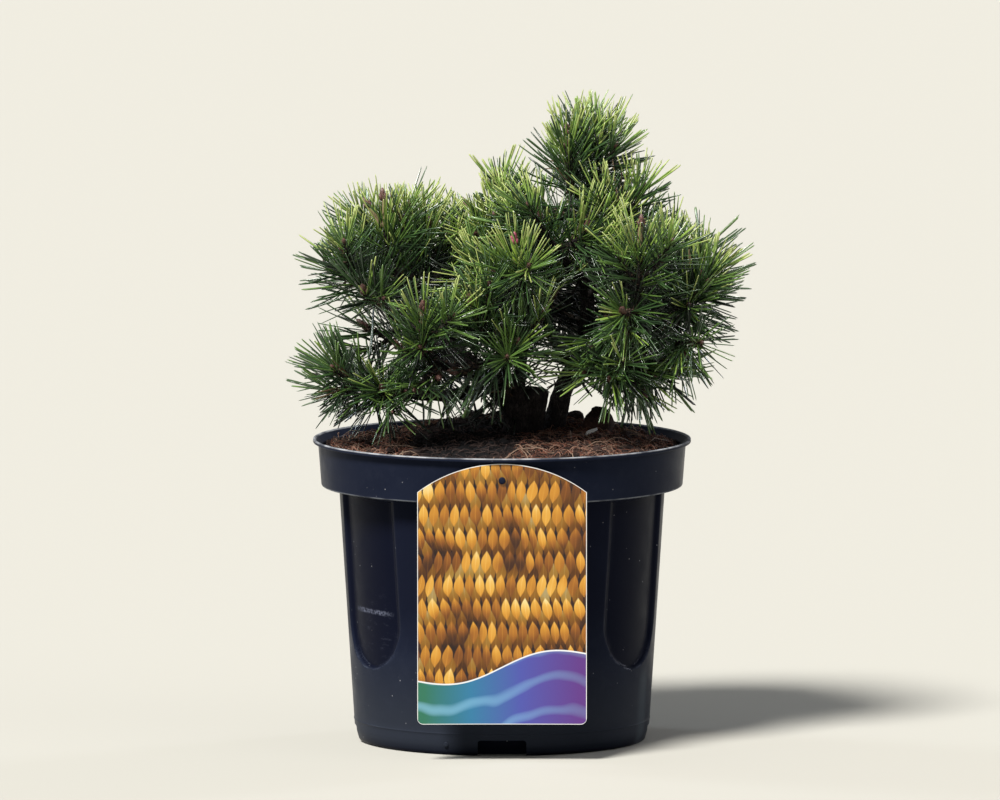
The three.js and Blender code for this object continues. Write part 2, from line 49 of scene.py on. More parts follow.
# ---------------------------------------------------------------- driving dimensions, as in the part
POT_HEIGHT = 181
LIP_RADIUS = 113
LIP_THICKNESS = 2.2
BAND_TOP_RADIUS = 110
BAND_FOOT_RADIUS = 108
BAND_HEIGHT = 28
BODY_TOP_RADIUS = 97.5
BODY_FOOT_RADIUS = 87.6
FOOT_CHAMFER = 5.5
WALL = 2.3
PANELS = 6
PANEL_WIDTH = 59
PANEL_FOOT_Z = 48
PANEL_DEPTH = 2.8
NOTCHES = 4
NOTCH_WIDTH = 29
NOTCH_HEIGHT = 9.6
NOTCH_REACH = 13
BAND_FOOT_Z = POT_HEIGHT - BAND_HEIGHT
LIP_FOOT_Z = POT_HEIGHT - LIP_THICKNESS

CARD_WIDTH = 100.5
CARD_HEIGHT = 155.5
CARD_ARCH = 17
CARD_CORNER = 3.6
CARD_THICKNESS = 0.8
CARD_HOLE_DROP = 10
CARD_BACK_Y = -(BAND_TOP_RADIUS + 0.3)
CARD_TOP_Z = LIP_FOOT_Z - 1
CARD_FOOT_Z = CARD_TOP_Z - CARD_HEIGHT
STUD_RADIUS = 2.1
STUD_PROUD = 1.4

SOIL_EDGE_Z = 175.5
SOIL_CROWN_Z = 182.5
SOIL_ROUGHNESS = 1.5
SOIL_RADIUS = BAND_FOOT_RADIUS - WALL - 0.3
SOIL_MIDDLE = (6, 12)
SOIL_MOUND = 80
STEM_FOOT_Z = 180
CLOD_PLACE = (58, 28, 187)

NEEDLE_LENGTH = 36
NEEDLE_OPEN = 80  # lean from the twig at the oldest needles
LEAFY_LENGTH = 85
LOWEST_NEEDLE_Z = POT_HEIGHT + 3
TWIG_RADIUS = 2
FORK_STEP = 7
FLARE_HEIGHT = 7

# ---------------------------------------------------------------- dimensions of the scene alone
PANEL_EDGE = 1.5  # the width over which a panel's edge rounds into its floor at its foot and top
PANEL_SIDE_EDGE = 6  # and at its sides
MOULD_LINE_Z = 13
MOULD_LINE = (0.28, 0.45)  # how far it stands proud, and how far it spreads up and down
GATE_X = -33.5  # the mark on the foot where the plastic came in
GATE_Z = 6.5
GATE_SIZE = (1.7, 0.5)  # radius, and how far it stands proud
BUTTON_ROOT = -4  # how deep the stud and the gate mark reach into the wall
CREASE = 38  # edges of the pot sharper than this many degrees stay crisp

CARD_BORDER = 0.4
CARD_CURL = 0.9  # how far the card's lower corners bend forward
CARD_BOW = 0.5  # and how far its middle lies back

PEAT_FOOT_Z = BAND_FOOT_Z + WALL + 1
BACK_RIDGE = (8, 60, 4.2)  # the root ball's own rise behind the stems: x, y and height
BACK_RIDGE_REACH = (58, 27)
CHIP_PLACE = (53, 4, 184.3)
WET_SHADED_PLACE = (-22, -20, SOIL_CROWN_Z)  # the middle of the blackest peat, wet and with painted shade from the crown, longer from front to back
WET_SHADED_SCALE = (1, 0.45, 1)
WET_SHADED_REACH = (26, 44)
CRUMBS = 420
BACK_CLODS = 16
FIBRES = 1500  # of each tint
FALLEN_NEEDLES = 70
COIR = [
    ("coir_red", (0.17, 0.065, 0.04)),
    ("coir_tan", (0.25, 0.145, 0.1)),
    ("coir_dark", (0.04, 0.024, 0.02)),
]

NEEDLE_SHUT = 21  # lean of the needles round the bud, closer than the part's spikes
NEEDLE_GAP = 0.7  # along a shoot from one pair to the next
NEEDLE_WIDTHS = (1.0, 1.35)
SIDE_SHOOT = (0.84, 0.84, (76, 26))  # a side shoot's gap, its needles' share of the full length, and lean
BARE_SHOOT = (4.5, 0.9, (95, 80))  # the same where only a few needles are left
OLD_NEEDLES = (31, 0.08, (100, 72))  # on the low limbs: their length, tone and lean from the limb

# ---------------------------------------------------------------- the plant's plan, as in the part
STEMS = {
    "trunk": {
        "points": [(29.5, 25, STEM_FOOT_Z), (38.5, 21, 213), (48, 18, 230), (51, 17, 262), (46, 14, 300)],
        "radii": (6.4, 2.8),
        "flare": 2.5,
    },
    "left_stem": {
        "points": [(12, 12, STEM_FOOT_Z), (6, 9, 201), (-12, 6, 219), (-34, 4, 237), (-50, 4, 258)],
        "radii": (9.2, 2.8),
        "flare": 2,
    },
}

# Bough: parent limb, share of its length, tip, radii.
BOUGHS = {
    "right_bough": ("trunk", 0.42, (94, 2, 250), (4.8, 3)),
    "upper_right_bough": ("trunk", 0.7, (65, 4, 288), (3.2, 2.5)),
    "right_front_bough": ("right_bough", 0.5, (78, -13, 252), (3.2, 2.5)),
    "right_low_bough": ("trunk", 0.34, (62, -4, 226), (3.4, 2.5)),
    "crown_mid_bough": ("trunk", 0.79, (38, -6, 288), (3.2, 2.5)),
    "centre_bough": ("left_stem", 0.16, (14, -20, 262), (4.2, 2.6)),
    "front_low_bough": ("left_stem", 0.27, (2, -20, 223), (3.4, 2.5)),
    "left_front_bough": ("left_stem", 0.5, (-37, -18, 228), (3.4, 2.5)),
    "left_bough": ("left_stem", 0.7, (-66, -4, 256), (3.6, 2.6)),
    "left_low_bough": ("left_stem", 0.36, (-58, -10, 209), (4.2, 2.7)),
    "centre_back_bough": ("left_stem", 0.3, (2, 24, 270), (3.8, 2.6)),
    "back_bough": ("trunk", 0.35, (24, 58, 250), (3.8, 2.6)),
    "back_right_bough": ("trunk", 0.5, (76, 44, 240), (3.6, 2.6)),
    "back_left_bough": ("left_stem", 0.42, (-44, 48, 232), (3.8, 2.6)),
}

# Mass: its limb, its green from 0 for old and shaded to 1 for new and lit, partly painted shade and light,
# and its shoots. A shoot is the end of its twig and its lift, from 0 straight away from the limb to 1
# straight up, then its candles' lengths, if any.
# The last shoot of needles_right is a finer twig that the part leaves out.
MASSES = {
    "needles_crown_top": ("trunk", 0.4, [
        (39, 6, 357, 0.8, 9), (60, 20, 358, 0.75), (42, 44, 336, 0.6), (25, 20, 319, 0.6)]),
    "needles_crown_mid": ("crown_mid_bough", 0.54, [
        (22, -16, 316, 0.7), (50, -26, 309, 0.6)]),
    "needles_upper_right": ("upper_right_bough", 0.5, [
        (71, -8, 321, 0.7), (82, 28, 304, 0.6), (78, 48, 290, 0.5)]),
    "needles_right_front": ("right_front_bough", 0.5, [
        (82, -42, 299, 0.75, 20), (72, -58, 263, 0.25), (56, -36, 241, 0.2)]),
    "needles_right": ("right_bough", 0.5, [
        (119, -6, 278, 0.6), (110, 26, 281, 0.7), (108, -24, 235, 0.1), (114, -14, 267, 0.4)]),
    "needles_right_low": ("right_low_bough", 0.4, [
        (87, -20, 222, 0), (64, -46, 222, 0.1), (86, 14, 227, 0.1)]),
    "needles_front_centre": ("centre_bough", 0.62, [
        (8, -49, 292, 0.6, 17), (30, -10, 268, 0.5), (-16, -24, 284, 0.6)]),
    "needles_front_low": ("front_low_bough", 0.52, [
        (-17, -48, 262, 0.5, 8), (9, -50, 243, 0.4), (-28, -44, 226, 0.1)]),
    "needles_left_front": ("left_front_bough", 0.4, [
        (-47, -56, 256, 0.5, 15), (-38, -50, 223, 0.2), (-62, -36, 240, 0.4)]),
    "needles_left_top": ("left_stem", 0.6, [
        (-70, -2, 309, 0.8, 22, 18), (-44, 10, 306, 0.8), (-62, 36, 290, 0.6), (-28, 4, 288, 0.6)]),
    "needles_left": ("left_bough", 0.47, [
        (-95, -10, 292, 0.6), (-80, 30, 272, 0.5), (-82, -30, 272, 0.45)]),
    "needles_left_low": ("left_low_bough", 0.38, [
        (-98, -22, 226, 0.6), (-80, 24, 217, 0.4), (-71, -42, 215, 0.3)]),
    "needles_centre_back": ("centre_back_bough", 0.54, [
        (-5, 10, 311, 0.85), (10, 40, 316, 0.8), (-22, 48, 298, 0.6), (20, 8, 292, 0.7)]),
    "needles_back": ("back_bough", 0.36, [
        (22, 90, 276, 0.6), (52, 74, 292, 0.7), (-8, 92, 248, 0.5), (44, 98, 250, 0.4)]),
    "needles_back_right": ("back_right_bough", 0.32, [
        (92, 66, 256, 0.6), (74, 94, 236, 0.4), (88, 50, 218, 0.1), (84, 66, 272, 0.7)]),
    "needles_back_left": ("back_left_bough", 0.34, [
        (-62, 74, 264, 0.6), (-82, 56, 242, 0.4), (-42, 90, 224, 0.3), (-28, 66, 268, 0.7)]),
}


# ---------------------------------------------------------------- meshes
class Batch:
    """Points in millimetres and faces that become one mesh. A triangle's fourth corner is -1."""

    def __init__(self):
        self.points = []
        self.faces = []
        self.slots = []
        self.count = 0

    def add(self, points, faces, slot=0):
        faces = joined(faces)
        self.points.append(np.reshape(points, (-1, 3)))
        self.faces.append(np.where(faces < 0, -1, faces + self.count))
        self.slots.append(np.broadcast_to(slot, len(faces)))
        self.count += len(self.points[-1])


def make_piece(name, batch, materials, replaced=(), sharp_above=None):
    """One object on the body from a batch. Edges sharper than sharp_above degrees stay crisp."""
    points = np.concatenate(batch.points) * MM
    faces = np.concatenate(batch.faces)
    sizes = (faces >= 0).sum(axis=1)
    mesh = bpy.data.meshes.new(name)
    mesh.vertices.add(len(points))
    mesh.vertices.foreach_set("co", points.ravel())
    mesh.loops.add(int(sizes.sum()))
    mesh.loops.foreach_set("vertex_index", faces[faces >= 0])
    mesh.polygons.add(len(faces))
    mesh.polygons.foreach_set("loop_start", np.concatenate([[0], np.cumsum(sizes)[:-1]]))
    mesh.polygons.foreach_set("material_index", np.concatenate(batch.slots))
    mesh.polygons.foreach_set("use_smooth", np.ones(len(faces), bool))
    mesh.update(calc_edges=True)
    mesh.validate()
    for material in materials:
        mesh.materials.append(material)
    if sharp_above:
        mesh.set_sharp_from_angle(angle=math.radians(sharp_above))
    piece = bpy.data.objects.new(name, mesh)
    bpy.context.scene.collection.objects.link(piece)
    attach(piece, "root")
    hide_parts(*replaced)
    return piece


def unit(vectors):
    return vectors / np.linalg.norm(vectors, axis=-1, keepdims=True)


def square_to(way, vectors):
    """The vectors turned square to the directions."""
    return unit(vectors - way * np.sum(vectors * way, axis=1, keepdims=True))


def lerp(start, end, share):
    return start + (end - start) * share


def smooth_step(value):
    share = np.clip(value, 0, 1)
    return share * share * (3 - 2 * share)


def ring_angles(count):
    return np.arange(count) * 2 * math.pi / count


def round_axis(turn, side, across):
    """Directions at these angles round an axis, from its side on towards across."""
    turn = np.asarray(turn)[..., None]
    return np.cos(turn) * side + np.sin(turn) * across


def joined(*blocks):
    """Faces of three or four corners in one array."""
    blocks = [np.asarray(block, int) for block in blocks]
    return np.vstack([np.pad(b, ((0, 0), (0, 4 - b.shape[1])), constant_values=-1) for b in blocks])


def grid_faces(rows, columns, closed=True):
    """Quads between rows of points that lie one after another, facing out of a tube swept along +."""
    row = np.arange(rows - 1)[:, None] * columns
    column = np.arange(columns if closed else columns - 1)[None, :]
    after = (column + 1) % columns
    quads = np.stack([row + column, row + after, row + after + columns, row + column + columns], -1)
    return quads.reshape(-1, 4)


def fan(hub, rim):
    """Triangles from a hub to a closed rim of point numbers."""
    return np.stack([np.full(len(rim), hub), rim, np.roll(rim, -1)], -1)


def closed_faces(rows, columns, inward=False):
    """Quads between rings of points, with a fan at each end to one of the two points after them."""
    quads = grid_faces(rows, columns)
    count = rows * columns
    first = np.arange(columns)
    last = np.arange(count - columns, count)
    if inward:
        return joined(quads[:, ::-1], fan(count, first), fan(count + 1, last[::-1]))
    return joined(quads, fan(count, first[::-1]), fan(count + 1, last))


def repeated(faces, count, size):
    """The same faces again for each of many small things, of so many points each."""
    offset = np.arange(count)[:, None, None] * size
    return np.where(faces[None] < 0, -1, faces[None] + offset).reshape(-1, 4)


def revolve(batch, profile, angles, swell):
    """A lathed shell. The profile runs from pole to pole, (radius, z), and swell(angle, z, radius)
    gives how far a point lies out of it."""
    radius, height = (np.repeat(column[1:-1, None], len(angles), axis=1) for column in profile.T)
    turn = np.broadcast_to(angles, radius.shape)
    radius = radius + swell(turn, height, radius)
    rings = np.stack([radius * np.sin(turn), -radius * np.cos(turn), height], -1).reshape(-1, 3)
    poles = [[0, 0, profile[0, 1]], [0, 0, profile[-1, 1]]]
    batch.add(np.vstack([rings, poles]), closed_faces(len(radius), len(angles)))


def rounded(corners, arc_steps=4):
    """An outline of (r, z, corner radius) with its corners turned into arcs."""
    points = []
    for i, (r, z, size) in enumerate(corners):
        here = np.array([r, z], float)
        if not size or i in (0, len(corners) - 1):
            points.append(here)
            continue
        back = unit(np.array(corners[i - 1][:2], float) - here)
        onward = unit(np.array(corners[i + 1][:2], float) - here)
        half = math.acos(np.clip(back @ onward, -1, 1)) / 2
        cut = size / math.tan(half)
        start, end = here + back * cut, here + onward * cut
        for share in np.linspace(0, 1, arc_steps + 1):
            points.append(lerp(lerp(start, here, share), lerp(here, end, share), share))
    return np.array(points)


# ---------------------------------------------------------------- paths and tubes
class Path:
    """A curve held as close points, and read by a share of its length."""

    def __init__(self, points):
        self.points = np.asarray(points, float)
        steps = np.linalg.norm(np.diff(self.points, axis=0), axis=1)
        self.run = np.concatenate([[0], np.cumsum(steps)])
        self.length = self.run[-1]

    def after(self, run):
        """The points so many millimetres along the curve."""
        return np.stack([np.interp(run, self.run, column) for column in self.points.T], -1)

    def at(self, share):
        """Points at these shares. Past either end the curve runs on straight."""
        place = np.asarray(share, float) * self.length
        inside = np.clip(place, 0, self.length)
        beyond = (place - inside)[..., None]
        return self.after(inside) + beyond * self.ahead(inside / self.length)

    def ahead(self, share):
        place = np.clip(np.asarray(share, float) * self.length, 0.3, self.length - 0.3)
        return unit(self.after(place + 0.3) - self.after(place - 0.3))

    def frames(self, shares):
        """Centres, and the directions ahead, to the side and across, turned as little as can be."""
        ahead = self.ahead(shares)
        side = np.empty_like(ahead)
        last = np.array([ahead[0, 1], -ahead[0, 0], 0.01])
        for i, way in enumerate(ahead):
            last = unit(last - way * (last @ way))
            side[i] = last
        return self.at(shares), ahead, side, np.cross(ahead, side)

    def frame(self, share):
        return [rows[0] for rows in self.frames(np.array([share]))]


def catmull_rom(points, steps=24):
    """The centripetal curve through the points."""
    points = np.asarray(points, float)
    padded = np.vstack([2 * points[0] - points[1], points, 2 * points[-1] - points[-2]])
    share = np.linspace(0, 1, steps, endpoint=False)[:, None]
    rows = []
    for p0, p1, p2, p3 in zip(padded, padded[1:], padded[2:], padded[3:]):
        gap0, gap1, gap2 = (np.linalg.norm(b - a) ** 0.5 for a, b in ((p0, p1), (p1, p2), (p2, p3)))
        leave = ((p1 - p0) / gap0 - (p2 - p0) / (gap0 + gap1) + (p2 - p1) / gap1) * gap1
        arrive = ((p2 - p1) / gap1 - (p3 - p1) / (gap1 + gap2) + (p3 - p2) / gap2) * gap1
        square = (3 * (p2 - p1) - 2 * leave - arrive) * share**2
        cube = (2 * (p1 - p2) + leave + arrive) * share**3
        rows.append(p1 + leave * share + square + cube)
    return Path(np.vstack([*rows, points[-1:]]))


def bezier(*anchors, steps=60):
    share = np.linspace(0, 1, steps + 1)[:, None, None]
    rows = np.repeat(np.array(anchors, float)[None], steps + 1, axis=0)
    while rows.shape[1] > 1:
        rows = lerp(rows[:, :-1], rows[:, 1:], share)
    return Path(rows[:, 0])


def tube(batch, path, shares, radii, sides, relief=None, slot=0, point=0):
    """A closed tube along a path. relief(points) gives how far each point stands proud, and point how
    far the tip does."""
    centre, ahead, side, across = path.frames(np.asarray(shares, float))
    outward = round_axis(ring_angles(sides), side[:, None], across[:, None])
    rings = centre[:, None] + outward * np.broadcast_to(radii, len(centre))[:, None, None]
    if relief:
        rings = rings + outward * relief(rings)[..., None]
    ends = [centre[0], centre[-1] + ahead[-1] * point]
    batch.add(np.vstack([rings.reshape(-1, 3), ends]), closed_faces(len(centre), sides), slot)


# ---------------------------------------------------------------- materials
class Value:
    """A number that nodes work out. Sums, differences, products and quotients of it are nodes too."""

    def __init__(self, look, socket):
        self.look = look
        self.socket = socket

    def math(self, operation, other=0.0):
        node = self.look.node("Math")
        node.operation = operation
        self.look.feed(node.inputs[0], self)
        self.look.feed(node.inputs[1], other)
        return Value(self.look, node.outputs[0])

    def __add__(self, other):
        return self.math("ADD", other)

    def __sub__(self, other):
        return self.math("SUBTRACT", other)

    def __mul__(self, other):
        return self.math("MULTIPLY", other)

    def __truediv__(self, other):
        return self.math("DIVIDE", other)

    def spread(self, low, high, to_low=0.0, to_high=1.0):
        """Stretched from low and high to to_low and to_high, and held there."""
        limits = {"From_Min": low, "From_Max": high, "To_Min": to_low, "To_Max": to_high}
        return Value(self.look, self.look.node("MapRange", Value=self, **limits).outputs["Result"])

    def band(self, middle, inner, outer):
        """1 where it lies near the middle, falling to 0 at the outer distance from it."""
        return (self - middle).math("ABSOLUTE").spread(inner, outer, 1, 0)


class Look:
    """A material's node tree, with short ways to add nodes to it."""

    def __init__(self, name, colour=(0.5, 0.5, 0.5), roughness=0.5, specular=0.5):
        self.material = bpy.data.materials.new(name)
        self.material.use_nodes = True
        self.tree = self.material.node_tree
        self.shader = self.tree.nodes["Principled BSDF"]
        self.shader.inputs["Base Color"].default_value = (*colour, 1)
        self.shader.inputs["Roughness"].default_value = roughness
        self.shader.inputs["Specular IOR Level"].default_value = specular

    def node(self, kind, **inputs):
        node = self.tree.nodes.new("ShaderNode" + kind)
        for name, value in inputs.items():
            self.feed(node.inputs[name.replace("_", " ")], value)
        return node

    def feed(self, socket, value):
        if isinstance(value, Value):
            value = value.socket
        if isinstance(value, bpy.types.NodeSocket):
            self.tree.links.new(value, socket)
        else:
            socket.default_value = value

    def coordinates(self, scale=(1, 1, 1)):
        """The object's own coordinates in millimetres, stretched by a scale."""
        stretch = self.node("VectorMath")
        stretch.operation = "MULTIPLY"
        self.feed(stretch.inputs[0], self.node("TexCoord").outputs["Object"])
        stretch.inputs[1].default_value = [s / MM for s in scale]
        return stretch.outputs["Vector"]

    def axes(self):
        split = self.node("SeparateXYZ", Vector=self.coordinates())
        return [Value(self, split.outputs[axis]) for axis in "XYZ"]

    def noise(self, size, detail=3, roughness=0.55, scale=(1, 1, 1)):
        """Noise with features of about this size in millimetres."""
        place = self.coordinates(scale)
        node = self.node("TexNoise", Vector=place, Scale=1 / size, Detail=detail, Roughness=roughness)
        return Value(self, node.outputs["Fac"])

    def cells(self, size, scale=(1, 1, 1), feature="F1"):
        """How far it is to the middle of a cell of about this size, or to its edge."""
        node = self.node("TexVoronoi", Vector=self.coordinates(scale), Scale=1 / size)
        node.feature = feature
        return Value(self, node.outputs["Distance"])

    def distance(self, place, scale=(1, 1, 1)):
        """How far it is to a place, in stretched space."""
        node = self.node("VectorMath")
        node.operation = "DISTANCE"
        self.feed(node.inputs[0], self.coordinates(scale))
        node.inputs[1].default_value = [p * s for p, s in zip(place, scale)]
        return Value(self, node.outputs["Value"])

    def near(self, place, inner, outer, scale=(1, 1, 1)):
        """1 within the inner distance of a place, falling to 0 at the outer one."""
        return self.distance(place, scale).spread(inner, outer, 1, 0)

    def ramp(self, value, *stops):
        """Colours by (position, colour)."""
        node = self.node("ValToRGB", Fac=value)
        elements = node.color_ramp.elements
        while len(elements) < len(stops):
            elements.new(0.5)
        for element, (position, colour) in zip(elements, stops):
            element.position = position
            element.color = (*colour, 1)
        return node.outputs["Color"]

    def mix(self, share, first, second):
        node = self.node("Mix")
        node.data_type = "RGBA"
        self.feed(node.inputs["Factor"], share)
        for socket, value in ((node.inputs[6], first), (node.inputs[7], second)):
            self.feed(socket, value if isinstance(value, bpy.types.NodeSocket) else (*value, 1))
        return node.outputs[2]

    def colour(self, value):
        self.feed(self.shader.inputs["Base Color"], value)

    def roughness(self, value):
        self.feed(self.shader.inputs["Roughness"], value)

    def bump(self, height, depth, strength=1.0):
        """A bump of about this depth in millimetres."""
        node = self.node("Bump", Height=height, Distance=depth * MM, Strength=strength)
        self.feed(self.shader.inputs["Normal"], node.outputs["Normal"])


def plain_look(name, colour, roughness, specular=0.5):
    """A plain base colour, for pieces of many small leaves or fibres."""
    return Look(name, colour, roughness, specular).material


SCUFF_PLACE = (-80, -52, 70)
STREAK_PLACE = (-82, -48, 82)
# Where a painted highlight, a vertical reflection streak, stands on the right of the foot.
FOOT_HIGHLIGHT_PLACE = (82, -30, 30)


def pot_look():
    """Navy-black moulded plastic, with painted shade in its panels and inside, and painted highlights and
    reflections on its lip, band foot and foot.
    """
    look = Look("pot_plastic", specular=0.02)
    look.shader.inputs["Specular Tint"].default_value = (0.62, 0.72, 1, 1)
    height = look.axes()[2]
    wall = height.spread(0, BAND_FOOT_Z, BODY_FOOT_RADIUS, BODY_TOP_RADIUS)
    sunk = (wall - look.distance((0, 0, 0), (1, 1, 0))).spread(0.15, PANEL_DEPTH - 1.2)
    upper_darkening = height.spread(56, 86) * height.spread(BAND_FOOT_Z - 0.6, BAND_FOOT_Z - 0.1, 0.85, 0)
    speck = look.cells(5).spread(0.045, 0.085, 1, 0) * look.noise(20, detail=2).spread(0.54, 0.6, 0, 0.75)
    grain = look.noise(3.4, detail=5, roughness=0.75, scale=(0.4, 0.4, 1.3)).spread(0.56, 0.74, 0, 0.22)
    broken = look.noise(1.5, detail=4, roughness=0.8).spread(0.42, 0.58)
    streak = height.band(STREAK_PLACE[2], 0.7, 1.8) * broken * look.near(STREAK_PLACE, 14, 24)
    scuff = (look.near(SCUFF_PLACE, 10, 32) * grain).math("MAXIMUM", streak)
    foot_highlight = look.near(FOOT_HIGHLIGHT_PLACE, 3, 9, (1, 1, 0.1)) * height.spread(50, 40, 0, 0.7)
    # Breaks up the painted highlights along the lip and the band's foot.
    highlight_breaks = look.noise(13, detail=3).spread(0.38, 0.6, 0.2, 1)
    layers = [
        (height.spread(20, 62, 0.85, 0), (0.019, 0.0225, 0.031)),  # dust on the foot, and a painted reflection of the floor, lighter towards the bottom
        (look.noise(9, detail=6, roughness=0.7).spread(0.5, 0.85, 0, 0.3), (0.024, 0.028, 0.042)),  # haze
        (upper_darkening, (0.0048, 0.006, 0.0135)),  # the darker upper body
        (sunk * 0.9, (0.0028, 0.0036, 0.0095)),  # painted shade in the panels and the inside
        (speck, (0.34, 0.34, 0.36)),
        (scuff * 0.7, (0.12, 0.13, 0.18)),
        # painted highlight: a vertical reflection streak on the right of the foot
        (foot_highlight, (0.038, 0.048, 0.06)),
        (height.band(POT_HEIGHT, 0.425, 0.85) * highlight_breaks, (0.3, 0.31, 0.33)),  # painted highlight along the lip
        (height.band(BAND_FOOT_Z + 0.4, 0.35, 0.7) * highlight_breaks, (0.12, 0.13, 0.15)),  # painted highlight along the band's foot
    ]
    cloud = look.noise(38, detail=4)
    base = look.ramp(cloud, (0.3, (0.0072, 0.0096, 0.0198)), (0.75, (0.01, 0.013, 0.0252)))
    for share, colour in layers:
        base = look.mix(share, base, colour)
    look.colour(base)
    look.roughness(look.noise(14, detail=5).spread(0.35, 0.75, 0.28, 0.42) + scuff * 0.25)
    look.bump(look.noise(0.6, detail=2) * 0.05 + look.noise(24, detail=1), 0.5, 0.5)
    return look.material


LEAF_WIDTH = 6.1
LEAF_HEIGHT = 14
LEAF_RANKS = [(0.53, 0.3), (0.0, 0.66)]  # how far a rank is shifted, and how light it is
LEAF_COLOURS = [
    (0.0, (0.05, 0.018, 0.007)), (0.3, (0.3, 0.1, 0.014)), (0.6, (0.68, 0.3, 0.03)),
    (0.85, (0.86, 0.5, 0.09)), (1.0, (0.93, 0.74, 0.34)),
]
BAND_COLOURS = [
    (0.0, (0.02, 0.12, 0.07)), (0.3, (0.02, 0.13, 0.24)), (0.62, (0.05, 0.06, 0.27)),
    (1.0, (0.08, 0.025, 0.16)),
]
PRINT_BAND_Z = CARD_FOOT_Z + 34


def leaf_rank(look, across, height, shift):
    """Upright pointed leaves in offset ranks: whether a point is on a leaf, how far it lies from the
    leaf's midrib, how high up the leaf, and the leaf's own random tone."""
    rank = height / LEAF_HEIGHT + shift
    row = rank.math("FLOOR")
    rise = rank.math("FRACT")
    along = across / LEAF_WIDTH + row.math("MODULO", 2.0) * 0.5 + (shift + 40)
    side = (along.math("FRACT") - 0.5).math("ABSOLUTE")
    half = (rise * math.pi).math("SINE") * 0.47
    number = look.node("CombineXYZ", X=along.math("FLOOR"), Y=row, Z=shift)
    tone = look.node("TexWhiteNoise", Vector=number.outputs["Vector"]).outputs["Value"]
    return (half - side).spread(0, 0.05), side, rise, Value(look, tone)


def card_look():
    """A generic print: ranks of gold leaves on dark brown over a wavy band that runs from green through
    teal and blue to violet."""
    look = Look("card_print", roughness=0.24, specular=0.4)
    across, _, height = look.axes()
    swayed = across + (look.noise(30, detail=1) - 0.5) * 9
    warmth = look.noise(30, detail=2).spread(0.3, 0.7, -0.3, 0.3)
    ground = look.ramp(look.noise(5, detail=4), (0.35, (0.008, 0.004, 0.004)), (0.7, (0.05, 0.018, 0.008)))
    for shift, shade in LEAF_RANKS:
        on_leaf, side, rise, tone = leaf_rank(look, swayed, height, shift)
        veins = (rise * 62 - side * 30).math("SINE")
        light = tone * 0.5 + rise * 0.4 + warmth + veins * 0.07 + side.spread(0, 0.035, 0.22, 0)
        stops = [(position, [c * shade for c in colour]) for position, colour in LEAF_COLOURS]
        ground = look.mix(on_leaf, ground, look.ramp(light, *stops))
    wave = (across * 0.062).math("SINE") * 5.5
    depth = wave + across * 0.16 + PRINT_BAND_Z - height
    streak = (depth * 0.34 + look.noise(26, detail=1) * 5).math("SINE")
    glow = streak.spread(0.3, 1, 0, 0.5) * across.spread(-40, 50, 1, 0.3)
    hue = look.mix(glow, look.ramp(across.spread(-46, 46), *BAND_COLOURS), (0.2, 0.42, 0.58))
    design = look.mix(depth.spread(-0.25, 0.25), ground, hue)
    line = depth.math("ABSOLUTE").spread(0.3, 0.55, 1, 0)
    look.colour(look.mix(line, design, (0.6, 0.61, 0.61)))
    return look.material


def soil_look():
    """Moist peat: near-black crumbs with brown and reddish coir."""
    look = Look("peat", roughness=0.88, specular=0.2)
    broad = look.noise(22, detail=4, roughness=0.65)
    fine = look.noise(1.3, detail=5, roughness=0.7)
    brown = look.ramp(broad, (0.36, (0.007, 0.005, 0.005)), (0.54, (0.024, 0.015, 0.013)),
                      (0.66, (0.07, 0.036, 0.029)), (0.85, (0.14, 0.078, 0.062)))
    crumb_tint = look.ramp(fine, (0.4, (0.003, 0.002, 0.002)), (0.72, (0.1, 0.056, 0.042)))
    brown = look.mix(0.4, brown, crumb_tint)
    # Blackest under the crown: wet peat, with painted shade from the crown over it.
    look.colour(look.mix(look.near(WET_SHADED_PLACE, *WET_SHADED_REACH, WET_SHADED_SCALE), brown, (0.003, 0.0025, 0.003)))
    look.bump(fine + broad, 1.6)
    return look.material


def bark_look(name, grey):
    """Scaly bark: dark brown in the cracks, and greyer on the faces of its scales."""
    look = Look(name, roughness=0.85, specular=0.25)
    mottle = look.noise(3.2, detail=5, roughness=0.7, scale=(1, 1, 0.5))
    colour = look.ramp(mottle, (0.3, (0.006, 0.005, 0.006)), (0.5, (0.018, 0.014, 0.014)),
                       (0.68, (0.05 * grey, 0.042 * grey, 0.04 * grey)),
                       (0.85, (0.11 * grey, 0.096 * grey, 0.09 * grey)))
    crack = look.cells(1.8, (1, 1, 0.5), "DISTANCE_TO_EDGE").spread(0, 0.12, 1, 0)
    look.colour(look.mix(crack * 0.6, colour, (0.006, 0.004, 0.003)))
    look.bump(mottle - crack, 0.5)
    return look.material


# ---------------------------------------------------------------- camera, floor and light
CAMERA_DISTANCE = 12000
CAMERA_ELEVATION = 6.2
SENSOR_WIDTH = 36
VIEW_WIDTH = 598  # what the picture's width takes in at the pot's axis
FRAME_RIGHT = -1.2  # from the rim's centre to the picture's centre
FRAME_UP = 22.7
FLOOR_RADIUS = 60000
FLOOR_SIDES = 96
PALE = (0.385, 0.374, 0.336)
SKY_STRENGTH = 0.25
SUNS = [  # name, place, strength, spread in degrees, colour
    ("key", (-1000, -1450, 2400), 7.3, 16, (1, 0.985, 0.955)),
    ("fill", (1500, -900, 1500), 0.25, 40, (0.97, 0.98, 1)),
    ("left_rim", (-1700, 900, 620), 1.0, 14, (0.8, 0.9, 1)),
    ("right_rim", (1500, 1150, 560), 0.8, 9, (0.85, 0.88, 1)),
]


def aim(thing, place, target):
    thing.location = Vector(place) * MM
    thing.rotation_mode = "QUATERNION"
    thing.rotation_quaternion = (Vector(target) - Vector(place)).to_track_quat("-Z", "Y")
    bpy.context.scene.collection.objects.link(thing)


